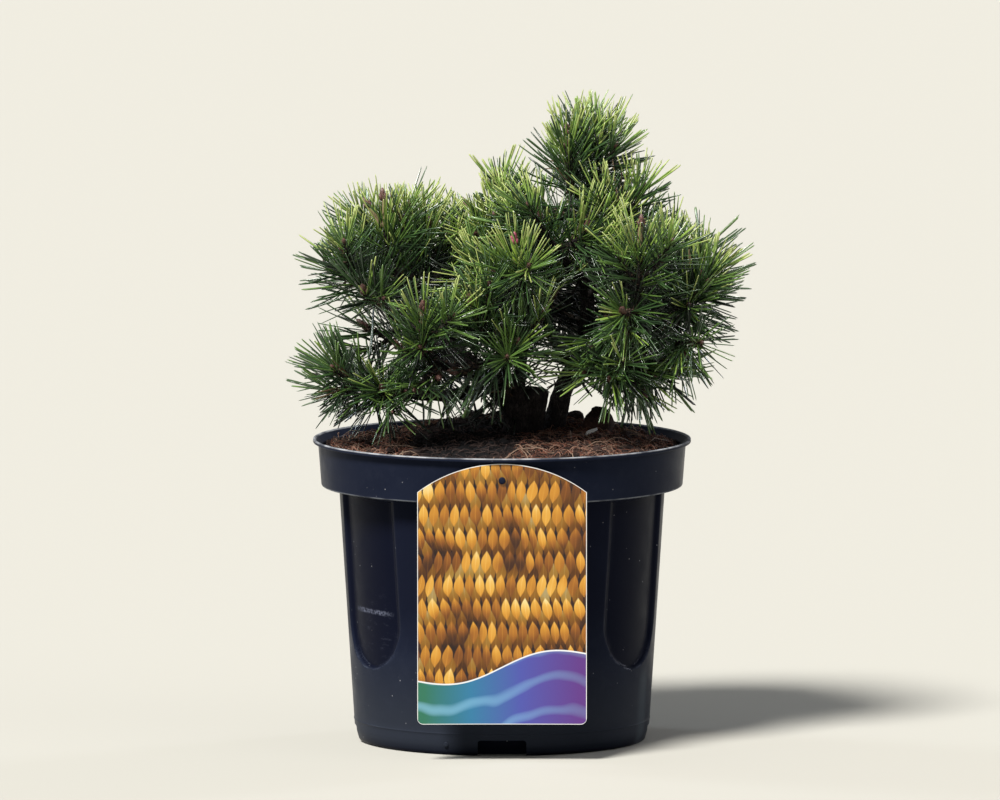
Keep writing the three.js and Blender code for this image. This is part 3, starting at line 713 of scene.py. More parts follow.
def build_camera():
    rise = math.radians(CAMERA_ELEVATION)
    target = Vector((FRAME_RIGHT, FRAME_UP * math.sin(rise), POT_HEIGHT + FRAME_UP * math.cos(rise)))
    back = Vector((0, -math.cos(rise), math.sin(rise)))
    camera = bpy.data.objects.new("camera", bpy.data.cameras.new("camera"))
    camera.data.sensor_width = SENSOR_WIDTH
    camera.data.lens = SENSOR_WIDTH * CAMERA_DISTANCE / VIEW_WIDTH
    camera.data.clip_end = 200
    aim(camera, target + back * CAMERA_DISTANCE, target)
    bpy.context.scene.camera = camera


def build_stage():
    rim = round_axis(ring_angles(FLOOR_SIDES), *np.eye(3)[:2]) * FLOOR_RADIUS * MM
    mesh = bpy.data.meshes.new("floor")
    mesh.from_pydata(rim.tolist(), [], [list(range(FLOOR_SIDES))])
    floor = bpy.data.objects.new("floor", mesh)
    bpy.context.scene.collection.objects.link(floor)
    look = Look("floor", roughness=0.9, specular=0.1)
    look.colour(look.ramp(look.noise(900, detail=1), (0, PALE), (1, [c * 0.995 for c in PALE])))
    mesh.materials.append(look.material)

    world = bpy.data.worlds.new("studio")
    world.use_nodes = True
    sky = world.node_tree.nodes["Background"]
    sky.inputs["Color"].default_value = (0.97, 0.98, 1.0, 1)
    sky.inputs["Strength"].default_value = SKY_STRENGTH
    bpy.context.scene.world = world
    for name, place, strength, spread, colour in SUNS:
        light = bpy.data.lights.new(name, "SUN")
        light.energy = strength
        light.angle = math.radians(spread)
        light.color = colour
        aim(bpy.data.objects.new(name, light), place, (0, 0, 0))
    settings = bpy.context.scene.view_settings
    settings.view_transform = "Standard"
    settings.look = "None"


# ---------------------------------------------------------------- pot
def body_radius(z):
    return lerp(BODY_FOOT_RADIUS, BODY_TOP_RADIUS, z / BAND_FOOT_Z)


def panel_depth(turn, z, radius):
    """How deep the sunk panels are: upright bars with half-round feet, evenly round the body."""
    sector = 2 * math.pi / PANELS
    local = (turn + sector / 2) % sector - sector / 2
    across = np.abs(radius * np.sin(local))
    half = PANEL_WIDTH / 2
    centre_z = PANEL_FOOT_Z + half
    to_side = (half - across) / PANEL_SIDE_EDGE
    to_top = (BAND_FOOT_Z - WALL - z) / PANEL_EDGE
    up_foot = smooth_step((z - PANEL_FOOT_Z) / half)
    to_foot = (half - np.hypot(across, z - centre_z)) / lerp(PANEL_EDGE, PANEL_SIDE_EDGE, up_foot)
    inside = np.where(z > centre_z, np.minimum(to_side, to_top), to_foot)
    return PANEL_DEPTH * smooth_step(inside + 0.3)


def pot_swell(turn, z, radius):
    on_body = (z > FOOT_CHAMFER) & (z < BAND_FOOT_Z - 0.2) & (radius > body_radius(z) - 0.5)
    proud, spread = MOULD_LINE
    line = proud * np.exp(-(((z - MOULD_LINE_Z) / spread) ** 2))
    return np.where(on_body, line - panel_depth(turn, z, radius), 0)


def pot_profile():
    """From the middle of the underside out and up to the lip, then down inside to the floor's middle."""
    body_z = np.concatenate([
        [7, 9, 11, 12, 12.6, 13, 13.4, 14, 17], np.arange(21, 41, 4), np.arange(41.2, 76, 0.9),
        np.arange(77, 146, 5), np.arange(147, BAND_FOOT_Z - 0.6, 0.55)])
    foot = rounded([(0, 0, 0), (BODY_FOOT_RADIUS - 1.5, 0, 3.6), (body_radius(7), 7, 0)])[:-1]
    body = np.stack([body_radius(body_z), body_z], -1)
    shelf_z = BAND_FOOT_Z + WALL
    floor_z = NOTCH_HEIGHT + 3
    top = rounded([
        (body_radius(BAND_FOOT_Z - 0.5), BAND_FOOT_Z - 0.5, 0),
        (body_radius(BAND_FOOT_Z), BAND_FOOT_Z, 0.4),
        (BAND_FOOT_RADIUS, BAND_FOOT_Z, 1.1),
        (BAND_TOP_RADIUS, LIP_FOOT_Z, 0.9),
        (LIP_RADIUS, LIP_FOOT_Z, 0.6),
        (LIP_RADIUS, POT_HEIGHT, 0.55),
        (LIP_RADIUS - 1.3, POT_HEIGHT, 0.4),
        (BAND_TOP_RADIUS - WALL, LIP_FOOT_Z - 2, 2),
        (BAND_FOOT_RADIUS - WALL, shelf_z, 1),
        (body_radius(BAND_FOOT_Z) - WALL - PANEL_DEPTH, shelf_z, 1),
        (body_radius(floor_z) - WALL - PANEL_DEPTH, floor_z, 2),
        (0, floor_z, 0)])
    return np.vstack([foot, body, top])


def pot_angles():
    """Close together where a panel's edge falls, and wider apart between."""
    half = [*np.arange(0, 15, 1.25), *np.arange(15.5, 22, 0.3), *np.arange(23, 30, 1.5)]
    sector = np.radians(sorted({*(-a for a in half), *half}))
    return np.concatenate([sector + turn for turn in ring_angles(PANELS)])


def notch_cutter():
    """Bars with rounded upper edges, through the foot of the wall."""
    batch = Batch()
    half = NOTCH_WIDTH / 2
    low = -5
    corners = [(half, low, 0), (half, NOTCH_HEIGHT, 2.2), (-half, NOTCH_HEIGHT, 2.2), (-half, low, 0)]
    outline = rounded(corners)
    x, z = outline.T
    for turn in ring_angles(NOTCHES):
        sine, cosine = math.sin(turn), math.cos(turn)
        ends = [np.stack([x * cosine + reach * sine, x * sine - reach * cosine, z], -1)
                for reach in (BODY_FOOT_RADIUS - NOTCH_REACH, BODY_FOOT_RADIUS + 12)]
        middles = [end.mean(axis=0) for end in ends]
        batch.add(np.vstack([*ends, *middles]), closed_faces(2, len(outline)))
    return batch


def add_button(batch, place, normal, radius, proud, sides=24):
    """A small moulded head that stands on a face, with its rim rounded over."""
    side = unit(np.cross(UP, normal))
    outward = round_axis(ring_angles(sides), side, np.cross(normal, side))
    profile = [(0.55, proud), (0.9, proud - 0.25), (1, proud - 0.7), (1, BUTTON_ROOT)]
    rings = [place + normal * height + outward * radius * share for share, height in profile]
    ends = [place + normal * proud, place + normal * BUTTON_ROOT]
    batch.add(np.vstack([*rings, *ends]), closed_faces(len(rings), sides, inward=True))


def build_pot():
    batch = Batch()
    revolve(batch, pot_profile(), pot_angles(), pot_swell)
    material = pot_look()
    pot = make_piece("nursery_pot", batch, [material], ["pot"])
    cutter = make_piece("notch_cutter", notch_cutter(), [material])
    cut = pot.modifiers.new("notches", "BOOLEAN")
    cut.operation = "DIFFERENCE"
    cut.solver = "EXACT"
    cut.object = cutter
    shaped = bpy.data.meshes.new_from_object(pot.evaluated_get(bpy.context.evaluated_depsgraph_get()))
    pot.modifiers.clear()
    pot.data = shaped
    bpy.data.objects.remove(cutter)
    shaped.set_sharp_from_angle(angle=math.radians(CREASE))

    trim = Batch()
    hole = np.array([0, CARD_BACK_Y - CARD_THICKNESS, CARD_TOP_Z - CARD_HOLE_DROP])
    add_button(trim, hole, np.array([0, -1, 0]), STUD_RADIUS, STUD_PROUD)
    turn = math.asin(GATE_X / body_radius(MOULD_LINE_Z))
    gate = np.array([math.sin(turn), -math.cos(turn), 0])
    add_button(trim, gate * body_radius(GATE_Z) + UP * GATE_Z, gate, *GATE_SIZE)
    make_piece("stud_and_gate", trim, [material], sharp_above=50)


# ---------------------------------------------------------------- card
def build_card():
    half = CARD_WIDTH / 2
    arch_radius = (half * half + CARD_ARCH * CARD_ARCH) / (2 * CARD_ARCH)
    inner = np.linspace(-half + CARD_BORDER, half - CARD_BORDER, 74)
    corner = half - CARD_CORNER * (1 - np.cos(np.linspace(0, math.pi / 2, 6)))
    x = np.array(sorted({-half, half, *inner, *corner, *-corner}))
    top = CARD_HEIGHT - arch_radius + np.sqrt(arch_radius**2 - x**2)
    into_corner = np.clip(np.abs(x) - (half - CARD_CORNER), 0, CARD_CORNER)
    foot = CARD_CORNER - np.sqrt(CARD_CORNER**2 - into_corner**2)
    border = CARD_BORDER / CARD_HEIGHT
    rise = np.concatenate([[0, border], np.linspace(0.02, 0.98, 70), [1 - border * 1.1, 1]])[:, None]
    z = foot + (top - foot) * rise
    u = np.broadcast_to(x / half, z.shape)
    curl = CARD_CURL * (1 - rise) ** 2 * u**2 - CARD_BOW * np.sin(rise * math.pi) * (1 - u**2)
    front = np.stack([u * half, CARD_BACK_Y - CARD_THICKNESS - curl, z + CARD_FOOT_Z], -1).reshape(-1, 3)
    back = front + [0, CARD_THICKNESS * 0.6, 0]
    rows, columns = z.shape
    quads = grid_faces(rows, columns, closed=False)
    row, column = np.divmod(quads[:, 0], columns)
    middle = (x[column] + x[column + 1]) / 2
    edge = (row == 0) | (row == rows - 2) | (np.abs(middle) > half - CARD_BORDER)
    numbers = np.arange(rows * columns).reshape(rows, columns)
    loop = np.concatenate([numbers[0], numbers[1:, -1], numbers[-1, -2::-1], numbers[-2:0:-1, 0]])
    onward = np.roll(loop, -1)
    sides = np.stack([loop, loop + len(front), onward + len(front), onward], -1)
    batch = Batch()
    slots = np.concatenate([edge, np.ones(len(quads) + len(sides))]).astype(int)
    batch.add(np.vstack([front, back]), joined(quads, quads[:, ::-1] + len(front), sides), slots)
    white = plain_look("card_white", (0.6, 0.6, 0.58), 0.35)
    make_piece("hanging_card", batch, [card_look(), white], ["card"], sharp_above=40)


# ---------------------------------------------------------------- root ball
def soil_height(x, y):
    """The part's own soil surface: a mound round the stems with broad bumps."""
    distance = np.hypot(x - SOIL_MIDDLE[0], y - SOIL_MIDDLE[1])
    mound = np.exp(-((distance / SOIL_MOUND) ** 4))
    broad = np.sin(x * 0.21 + y * 0.13) * np.cos(y * 0.19 - x * 0.07)
    bumps = broad + 0.6 * np.sin(x * 0.43 - y * 0.37)
    return lerp(SOIL_EDGE_Z, SOIL_CROWN_Z, mound) + bumps * SOIL_ROUGHNESS * (1 - 0.7 * mound)


def surface_height(x, y):
    """The part's soil with the rise behind the stems, which falls off before the wall."""
    ridge_x, ridge_y, rise = BACK_RIDGE
    reach_x, reach_y = BACK_RIDGE_REACH
    ridge = np.exp(-(((x - ridge_x) / reach_x) ** 4) - ((y - ridge_y) / reach_y) ** 4)
    return soil_height(x, y) + rise * ridge


def crumbs(points, size, depth):
    """Fractal unevenness at each point, in millimetres."""
    return np.array([noise.fractal(Vector(p) / size, 0.7, 2.1, 4) for p in points]) * depth


def rough_lump(batch, place, size, seed, flat=0.7, lean=0.0, sides=10):
    """An uneven crumb: a small sphere of rings, squashed, pushed about by noise and tilted along X."""
    rise = np.linspace(0, math.pi, 7)[1:-1, None]
    turn = ring_angles(sides)
    ball = np.broadcast_arrays(np.sin(rise) * np.cos(turn), np.sin(rise) * np.sin(turn), -np.cos(rise))
    ball = np.vstack([np.stack(ball, -1).reshape(-1, 3), -UP, UP])
    push = np.array([noise.noise(Vector(p) * 1.4 + Vector((seed, 0, 0))) for p in ball])
    points = ball * (1 + 0.55 * push[:, None]) * [size, size * 0.85, size * flat]
    points[:, 2] += lean * points[:, 0]
    batch.add(points + place, closed_faces(len(rise), sides))


def compass(turn):
    return np.array([math.cos(turn), math.sin(turn)])


def random_spot(rng, reach):
    radius = reach * math.sqrt(rng.random())
    return radius * compass(rng.random() * 2 * math.pi)


def strand_on_soil(rng, length, lift, curl, steps):
    """A strand that follows the soil from a random place, with a little curl."""
    reach = SOIL_RADIUS - 3
    spot = random_spot(rng, reach)
    heading = rng.random() * 2 * math.pi
    bend = rng.normal(0, curl)
    tilt = rng.uniform(-1, 1) * lift
    points = []
    for share in np.linspace(0, 1, steps):
        spot = spot * min(1.0, reach / max(np.hypot(*spot), 1e-6))
        arch = lift * math.sin(math.pi * share) + max(tilt, 0) * share
        points.append([*spot, surface_height(*spot) + 0.5 + arch])
        heading += bend + rng.normal(0, curl * 0.5)
        spot = spot + compass(heading) * length / (steps - 1)
    return Path(points)


# Whether a strand lies on the blackest peat, which is wet and has painted shade over it; only dark coir
# lies there.
def on_wet_shaded_peat(path):
    middle = path.at(0.5)
    across, along = ((middle[k] - WET_SHADED_PLACE[k]) * WET_SHADED_SCALE[k] for k in (0, 1))
    return math.hypot(across, along) < sum(WET_SHADED_REACH) / 2


def build_soil():
    rings = np.linspace(0.5, SOIL_RADIUS, 104)[:, None]
    around = ring_angles(340)
    x = rings * np.cos(around)
    y = rings * np.sin(around)
    surface = np.stack([x, y, surface_height(x, y)], -1).reshape(-1, 3)
    surface[:, 2] += crumbs(surface, 9, 1.7) + crumbs(surface, 3.1, 0.9)
    low = surface[-len(around):] * [1, 1, 0] + UP * PEAT_FOOT_Z
    batch = Batch()
    faces = closed_faces(len(rings) + 1, len(around), inward=True)
    batch.add(np.vstack([surface, low, surface[0], UP * PEAT_FOOT_Z]), faces)
    peat = soil_look()
    make_piece("peat_surface", batch, [peat], ["root_ball"])

    rng = np.random.default_rng(41)
    lumps = Batch()
    rough_lump(lumps, CLOD_PLACE, 9.2, 3.7, 0.95)
    for i in range(CRUMBS):
        spot = random_spot(rng, SOIL_RADIUS - 6)
        size = 0.8 + 2.8 * rng.random() ** 3
        rough_lump(lumps, (*spot, surface_height(*spot) + size * 0.3), size, i * 1.7)
    for i in range(BACK_CLODS):
        spot = (rng.uniform(-58, 52), rng.uniform(48, 80))
        size = rng.uniform(3.5, 6.5)
        rough_lump(lumps, (*spot, surface_height(*spot) + size * 0.2), size, 30 + i * 2.3)
    make_piece("peat_lumps", lumps, [peat])

    chip = Batch()
    rough_lump(chip, CHIP_PLACE, 4.6, 9.1, 0.3, lean=0.45)
    make_piece("pale_chip", chip, [plain_look("perlite", (0.85, 0.83, 0.82), 0.8)])

    for name, colour in COIR:
        fibres = Batch()
        for _ in range(FIBRES):
            path = strand_on_soil(rng, rng.uniform(3, 13), rng.uniform(0.2, 2.8), 0.22, 5)
            girth = rng.uniform(0.11, 0.24)
            if name == "coir_dark" or not on_wet_shaded_peat(path):
                tube(fibres, path, np.linspace(0, 1, 5), girth, 3)
        make_piece(name, fibres, [plain_look(name, colour, 0.8, 0.3)])
    straws = Batch()
    for _ in range(FALLEN_NEEDLES):
        path = strand_on_soil(rng, rng.uniform(18, 34), rng.uniform(0.8, 4), 0.05, 7)
        if not on_wet_shaded_peat(path):
            tube(straws, path, np.linspace(0, 1, 7), [0.2, 0.3, 0.34, 0.34, 0.3, 0.24, 0.1], 4)
    make_piece("fallen_needles", straws, [plain_look("straw", (0.19, 0.125, 0.085), 0.6)])


# ---------------------------------------------------------------- limbs
def taper(path, radii, flare):
    """The radius at a share of a limb's length."""

    def radius_at(share):
        height = np.maximum(share, 0) * path.length
        return lerp(*radii, np.clip(share, 0, 1)) + flare * np.exp(-height / FLARE_HEIGHT)

    return radius_at


def plan_limbs():
    """Every limb by name: its path and the radius at a share of its length."""
    limbs = {}
    for name, stem in STEMS.items():
        path = catmull_rom(stem["points"])
        limbs[name] = (path, taper(path, stem["radii"], stem["flare"]))
    for name, (parent, share, tip, radii) in BOUGHS.items():
        start = limbs[parent][0].at(share)
        bend = lerp(start, tip, 0.55) - UP * 0.12 * np.linalg.norm(tip - start)
        path = bezier(start, bend, tip)
        limbs[name] = (path, taper(path, radii, 0))
    return limbs


def bark_relief(scale, depth):
    """Plates parted by cracks, longer than they are wide."""

    def relief(points):
        heights = []
        for p in points.reshape(-1, 3):
            near = noise.voronoi(Vector((p[0], p[1], p[2] * 0.55)) / scale)[0]
            plate = min(1.0, (near[1] - near[0]) * 2.2)
            rough = noise.fractal(Vector(p) / (scale * 1.6), 0.8, 2.2, 3)
            heights.append(plate * 0.7 + rough * 0.9)
        return np.array(heights).reshape(points.shape[:2]) * depth

    return relief


def build_limbs(limbs):
    material = bark_look("bark", 1.0)
    rng = np.random.default_rng(77)
    for name, (path, radius_at) in limbs.items():
        # A stem starts a little under the soil, and has more sides and coarser bark than a bough.
        start, sides, bark = (-5, 26, (3.4, 0.55)) if name in STEMS else (0, 16, (2.2, 0.32))
        shares = np.linspace(start / path.length, 1, int(path.length / 1.3))
        batch = Batch()
        tube(batch, path, shares, radius_at(shares), sides, bark_relief(*bark))
        add_dead_twigs(batch, path, rng)
        if name == "left_stem":
            add_stub(batch)
        make_piece(name + "_bark", batch, [material], [name])


def add_dead_twigs(batch, path, rng):
    """Short bare twigs that died in the shade, all round a limb."""
    for share in rng.uniform(0.12, 0.95, int(path.length / 5)):
        centre, ahead, side, across = path.frame(share)
        outward = round_axis(rng.random() * 2 * math.pi, side, across)
        heading = unit(outward + ahead * rng.uniform(0, 0.9))
        length = rng.uniform(7, 19)
        end = centre + heading * length + rng.normal(0, 2.5, 3)
        if end[2] > LOWEST_NEEDLE_Z and not closes_gap(end):
            twig = bezier(centre, centre + heading * length * 0.6, end, steps=12)
            tube(batch, twig, np.linspace(0, 1, 5), [0.9, 0.8, 0.65, 0.6, 0.35], 5)


def add_stub(batch):
    """A short sawn-off stem that stands beside the left stem's foot."""
    path = bezier((15, 13, 176), (18, 13, 194), (20.5, 12, 209.5))
    shares = np.append(np.linspace(0, 0.985, 26), 1)
    radii = 8.4 - 0.9 * shares
    radii[-1] = 6.9
    tube(batch, path, shares, radii, 26, bark_relief(3.4, 0.5))


# ---------------------------------------------------------------- shoots
# The greens, from the old needles to the new ones, darker and lighter partly as painted shade and painted
# light, then the pale tips and dry needles, each with its colour, roughness and specular level.
TINTS = [
    ("needles_deep", (0.005, 0.011, 0.005), 0.3, 0.8),
    ("needles_dark", (0.013, 0.031, 0.011), 0.3, 1.0),
    ("needles_green", (0.033, 0.074, 0.021), 0.3, 1.0),
    ("needles_fresh", (0.09, 0.168, 0.034), 0.3, 1.0),
    ("needles_lime", (0.2, 0.31, 0.055), 0.3, 1.0),
    ("needle_tips", (0.32, 0.38, 0.11), 0.4, 0.8),
    ("needles_dry", (0.12, 0.08, 0.042), 0.55, 0.4),
]
TINT_STEPS = [0.05, 0.28, 0.58, 0.9]  # where one green gives way to the next
TIP = 5
DRY = 6
DRY_SHARE = 0.03  # of the oldest needles on a shoot
TIPPED_ABOVE = 1.05  # a needle's brightness and its painted light together, from which its outer part is paler
NEEDLE_RINGS = [(0.0, 0.75), (0.45, 1.0), (0.76, 0.97), (0.96, 0.72)]  # shares of length and width
NEEDLE_SECTION = [(0.5, 0.0), (-0.5, 0.0), (0.0, 0.5)]  # a flat inner face under a ridged back
SHEATH_FACES = [[0, 2, 1], [0, 3, 2], [0, 1, 3], [4, 1, 2], [4, 2, 3], [4, 3, 1]]
MOST_NEEDLES = 9000  # in one piece, which keeps it under 200,000 triangles
MOST_SHEATHS = 30000
BUD_TINTS = [
    ("bud_scales", (0.055, 0.026, 0.02), 0.5),
    ("candle_scales", (0.19, 0.145, 0.075), 0.55),
    ("plum_scales", (0.12, 0.055, 0.045), 0.45),
    ("pink_scales", (0.3, 0.06, 0.1), 0.45),
    ("lime_scales", (0.2, 0.3, 0.035), 0.5),
]
# The tints of a candle's stalk, and of the scales on its head.
CANDLE = (1, (2, 0))
PINK_CANDLE = (4, (3, 3))
PINK_CANDLE_MASS = "needles_front_centre"
CANDLE_SPREAD = 0.5  # how far a second candle leans to the left of the first
# The low limbs that still hold old needles: from and to which share of their length, and the gap
# between pairs.
LEAFY_LIMBS = {
    "front_low_bough": (0.25, 1, 1.0),
    "left_low_bough": (0.1, 1, 1.7),
    "left_front_bough": (0.2, 1, 1.8),
    "right_low_bough": (0.2, 1, 0.9),
    "right_front_bough": (0.1, 1, 1.4),
    "left_stem": (0.12, 0.6, 1.3),
    "trunk": (0.3, 0.62, 1.1),
}
# What shows between the masses from the card's side, as ellipses on the plane through the pot's axis:
# x, z, half width, half height and the share of needles that cross it all the same. The sky shows in the
# first, and the dark inside of the crown in the others.
SKY_GAPS = [
    (-112, 255, 27, 10, 0.48), (-84, 249, 18, 13, 0.3), (-74, 240, 13, 15, 0.25), (-98, 268, 13, 8, 0.4),
    (-137, 284, 13, 38, 0.1), (-124, 309, 17, 15, 0.1), (-13, 365, 19, 14, 0.1), (-22, 338, 9, 10, 0.1),
    (-66, 345, 36, 10, 0.1), (-70, 184, 40, 10, 0.38), (-24, 180, 30, 8, 0.5), (-46, 199, 12, 7, 0.25),
    (28, 195, 8, 14, 0.05), (48, 199, 12, 13, 0.05), (116, 372, 30, 26, 0.1), (166, 322, 18, 20, 0.1),
    (24, 338, 8, 5, 0.15), (31, 326, 7, 6, 0.15), (45, 407, 50, 16, 0.1), (134, 197, 22, 12, 0.2),
    (12, 380, 14, 10, 0.25), (17, 351, 15, 8, 0.56), (17, 366, 9, 6, 0.56), (112, 336, 10, 9, 0.3),
    (118, 322, 10, 8, 0.25), (-122, 196, 12, 9, 0.2), (138, 247, 14, 16, 0.5), (126, 222, 14, 12, 0.5),
    (107, 205, 17, 10, 0.35), (131, 314, 12, 7, 0.2), (-111, 213, 13, 8, 0.85), (-115, 287, 8, 8, 0.6),
]
HOLLOWS = [
    (43, 258, 13, 17, 0.1), (14, 201, 13, 11, 0.1), (-32, 223, 18, 12, 0.25), (78, 268, 4, 20, 0.1),
    (-35, 285, 9, 14, 0.35),
]
HOLLOW_DEPTH = -4  # needles in front of this leave a hollow clear, and those behind take the deepest tint as painted shade
SIGHT_SLOPE = math.tan(math.radians(CAMERA_ELEVATION))  # how fast the sight lines fall towards the back


class Crown:
    """What grows from the limbs: twigs and buds, and rows of numbers for each needle and sheath."""

    def __init__(self):
        self.twigs = Batch()
        self.buds = Batch()
        self.needles = []
        self.sheaths = []


def lowest_at(points):
    """The height that needles keep above: the soil, the rim, or the rim's height outside the pot."""
    x, y, _ = points.T
    return np.where(np.hypot(x, y) < SOIL_RADIUS - 1, surface_height(x, y) + 2, LOWEST_NEEDLE_Z)


def share_left(gaps, points):
    """The share of needles that may pass each point, which is 1 where it's seen outside the ellipses."""
    height = points[:, 2] + points[:, 1] * SIGHT_SLOPE
    share = np.ones(len(points))
    for x, z, half_width, half_height, left in gaps:
        inside = ((points[:, 0] - x) / half_width) ** 2 + ((height - z) / half_height) ** 2 < 1
        share = np.where(inside, np.minimum(share, left), share)
    return share


def clear_view(points):
    """The share of needles that may pass each point and leave the gaps open and the hollows dark."""
    in_front = points[:, 1] < HOLLOW_DEPTH
    return np.minimum(share_left(SKY_GAPS, points), np.where(in_front, share_left(HOLLOWS, points), 1))


def closes_gap(place):
    """Whether a twig's end stands in a gap or hollow."""
    return clear_view(place[None])[0] < 0.6


def grow_needles(crown, path, leafy, spacing, reach, girth, fresh_and_lit, rng, lean=(NEEDLE_OPEN, NEEDLE_SHUT)):
    """Pairs of needles in a spiral over a share of a shoot, closing in towards its tip."""
    start, end = leafy
    count = int((end - start) * path.length / spacing)
    if count < 2:
        return
    rise = ((np.arange(count) + 0.5) / count) ** 0.8
    centre, ahead, side, across = path.frames(lerp(start, end, rise))
    turn = GOLDEN * np.arange(count) + rng.normal(0, 0.12, count)
    outward = round_axis(turn, side, across)
    tilt = np.radians(lerp(*lean, rise**1.3)) + rng.normal(0, 0.055, count)
    way = round_axis(tilt, ahead, outward)
    around = np.cross(ahead, outward)
    apart = round_axis(rng.normal(0, 0.6, count), around, np.cross(way, around))
    root = centre + outward * (girth * 0.8)
    length = reach * (0.86 + 0.2 * rng.random(count)) * (1 - 0.12 * rise**3)
    brightness = fresh_and_lit + 0.75 * (rise - 0.55) + rng.normal(0, 0.17, count)
    # Painted shade: needles in a hollow take the deepest tint.
    in_hollow = share_left(HOLLOWS, root + way * length[:, None] * 0.5) < 1
    brightness = np.where(in_hollow, -1, brightness)
    luck = rng.random(count)
    dry = rng.random(count) < DRY_SHARE * (1 - rise) ** 2
    tint = np.where(dry, DRY, np.searchsorted(TINT_STEPS, brightness))
    # Painted light: needles higher in the crown and pointing up get pale tips more often.
    sunlit = 0.3 * (centre[:, 2] - 270) / 80 + 0.42 * way[:, 2]
    tipped = (brightness + sunlit + rng.normal(0, 0.15, count) > TIPPED_ABOVE) & ~dry
    for hand in (-1, 1):
        spread = np.radians(rng.uniform(2, 5.5, count))
        own = unit(way + hand * np.tan(spread)[:, None] * apart)
        bend = ahead * rng.normal(0.06, 0.03, count)[:, None]
        bend = bend + apart * (hand * rng.normal(0.01, 0.02, count))[:, None]
        full = length * rng.uniform(0.95, 1.0, count)
        kept = np.zeros(count, bool)
        for trim in (1, 0.8, 0.62):
            tip = root + (own + bend) * (full * trim)[:, None]
            spots = [tip, *(root + own * (full * trim * part)[:, None] for part in (0.4, 0.7))]
            clear = luck < np.min([clear_view(spot) for spot in spots], axis=0)
            fits = (tip[:, 2] > lowest_at(tip)) & clear & ~kept
            full = np.where(fits, full * trim, full)
            kept |= fits
        width = rng.uniform(*NEEDLE_WIDTHS, count)
        foot = root + apart * (hand * 0.28)
        rows = np.column_stack([foot, own, hand * apart, bend, full, width, tint, tipped])
        crown.needles.append(rows[kept])
    sheath = rng.uniform(3.2, 4.8, count)
    crown.sheaths.append(np.column_stack([root - way * 0.8, way, apart, sheath]))


def sheath_mesh(rows):
    """The short brown sleeves that hold the pairs of needles: three-sided spindles."""
    root, way, apart, length = np.split(rows, [3, 6, 9], axis=1)
    side = square_to(way, apart)
    across = np.cross(way, side)
    belly = [root + way * length * 0.45 + 0.95 * round_axis(turn, side, across) for turn in ring_angles(3)]
    points = np.stack([root, *belly, root + way * length], 1)
    return points, repeated(joined(SHEATH_FACES), len(rows), points.shape[1])


def needle_mesh(rows):
    """The points and faces of all these needles, with a tipped one's outer parts in paler tints."""
    root, way, back, bend, facts = np.split(rows, [3, 6, 9, 12], axis=1)
    length, width, _, tipped = (column[:, None] for column in facts.T)
    back = square_to(way, back)
    wide = np.cross(way, back)
    points = []
    for share, swell in NEEDLE_RINGS:
        centre = root + way * (length * share) + bend * (length * share**2)
        for a, b in NEEDLE_SECTION:
            points.append(centre + (wide * a + back * b) * (swell * width))
    points.append(root + (way + bend) * length)
    sides = len(NEEDLE_SECTION)
    last = len(points) - 1
    one = joined(grid_faces(len(NEEDLE_RINGS), sides), fan(last, np.arange(last - sides, last)))
    tint_along = np.repeat([0, 1, 2, 2], sides)
    slots = (tint_along * (tipped > 0.5)).ravel()
    return np.stack(points, 1), repeated(one, len(rows), len(points)), slots


def make_many(name, rows, mesh_of, most, materials, nodes=()):
    """Small things of one kind, joined into pieces of a bounded size."""
    for part, first in enumerate(range(0, len(rows), most)):
        batch = Batch()
        batch.add(*mesh_of(rows[first:first + most]))
        make_piece(f"{name}_{part + 1}", batch, materials, nodes)


def scales(rings, sides, pitch, phase=0.0):
    """From -1 to 1 over rings of points: three spirals of scales, turned by the pitch at each ring."""
    return np.cos(3 * ring_angles(sides) + np.arange(rings)[:, None] * pitch + phase)


def add_bud(buds, place, way, length, radius, rng, slots=(0, 2)):
    """A pointed bud of overlapping scales, some of them in the second slot."""
    stations = np.linspace(0, 0.97, 5 + int(length / 1.2))
    belly = np.sin(np.pi * (0.2 + 0.8 * stations) ** 1.25) ** 0.6
    pattern = (2.4, rng.random() * 6)
    sides = 8
    paler = scales(len(stations) - 1, sides, *pattern) > 0.4
    slot = np.append(np.where(paler, slots[1], slots[0]), [slots[0]] * 2 * sides)
    tube(buds, Path([place, place + way * length]), stations, radius * np.clip(belly, 0.22, 1), sides,
         lambda points: radius * 0.14 * scales(*points.shape[:2], *pattern), slot, point=0.05 * length)


def add_candle(buds, place, way, length, rng, stalk_slot, head_slots):
    """A new shoot on its way up: a scaly stalk under a knot of buds."""
    lean = unit(way + rng.normal(0, 0.06, 3))
    path = bezier(place, place + way * length * 0.5, place + lean * length, steps=24)
    stations = np.linspace(0, 0.86, 6 + int(length))
    pattern = (2.2, rng.random() * 6)
    tube(buds, path, stations, lerp(1.8, 1.4, stations), 9,
         lambda points: 0.22 * scales(*points.shape[:2], *pattern), stalk_slot)
    knob = path.at(0.76)
    add_bud(buds, knob, lean, 7, 1.75, rng, head_slots)
    side, across = (rows[1] for rows in path.frames(np.array([0.7, 0.8]))[2:])
    for turn in rng.random() * 2 + np.arange(4) * 1.6:
        outward = round_axis(turn, side, across)
        start = knob - lean * rng.uniform(0, 1) + outward * 0.9
        add_bud(buds, start, unit(lean + outward * 0.3), rng.uniform(3.6, 5), 1.05, rng, head_slots)


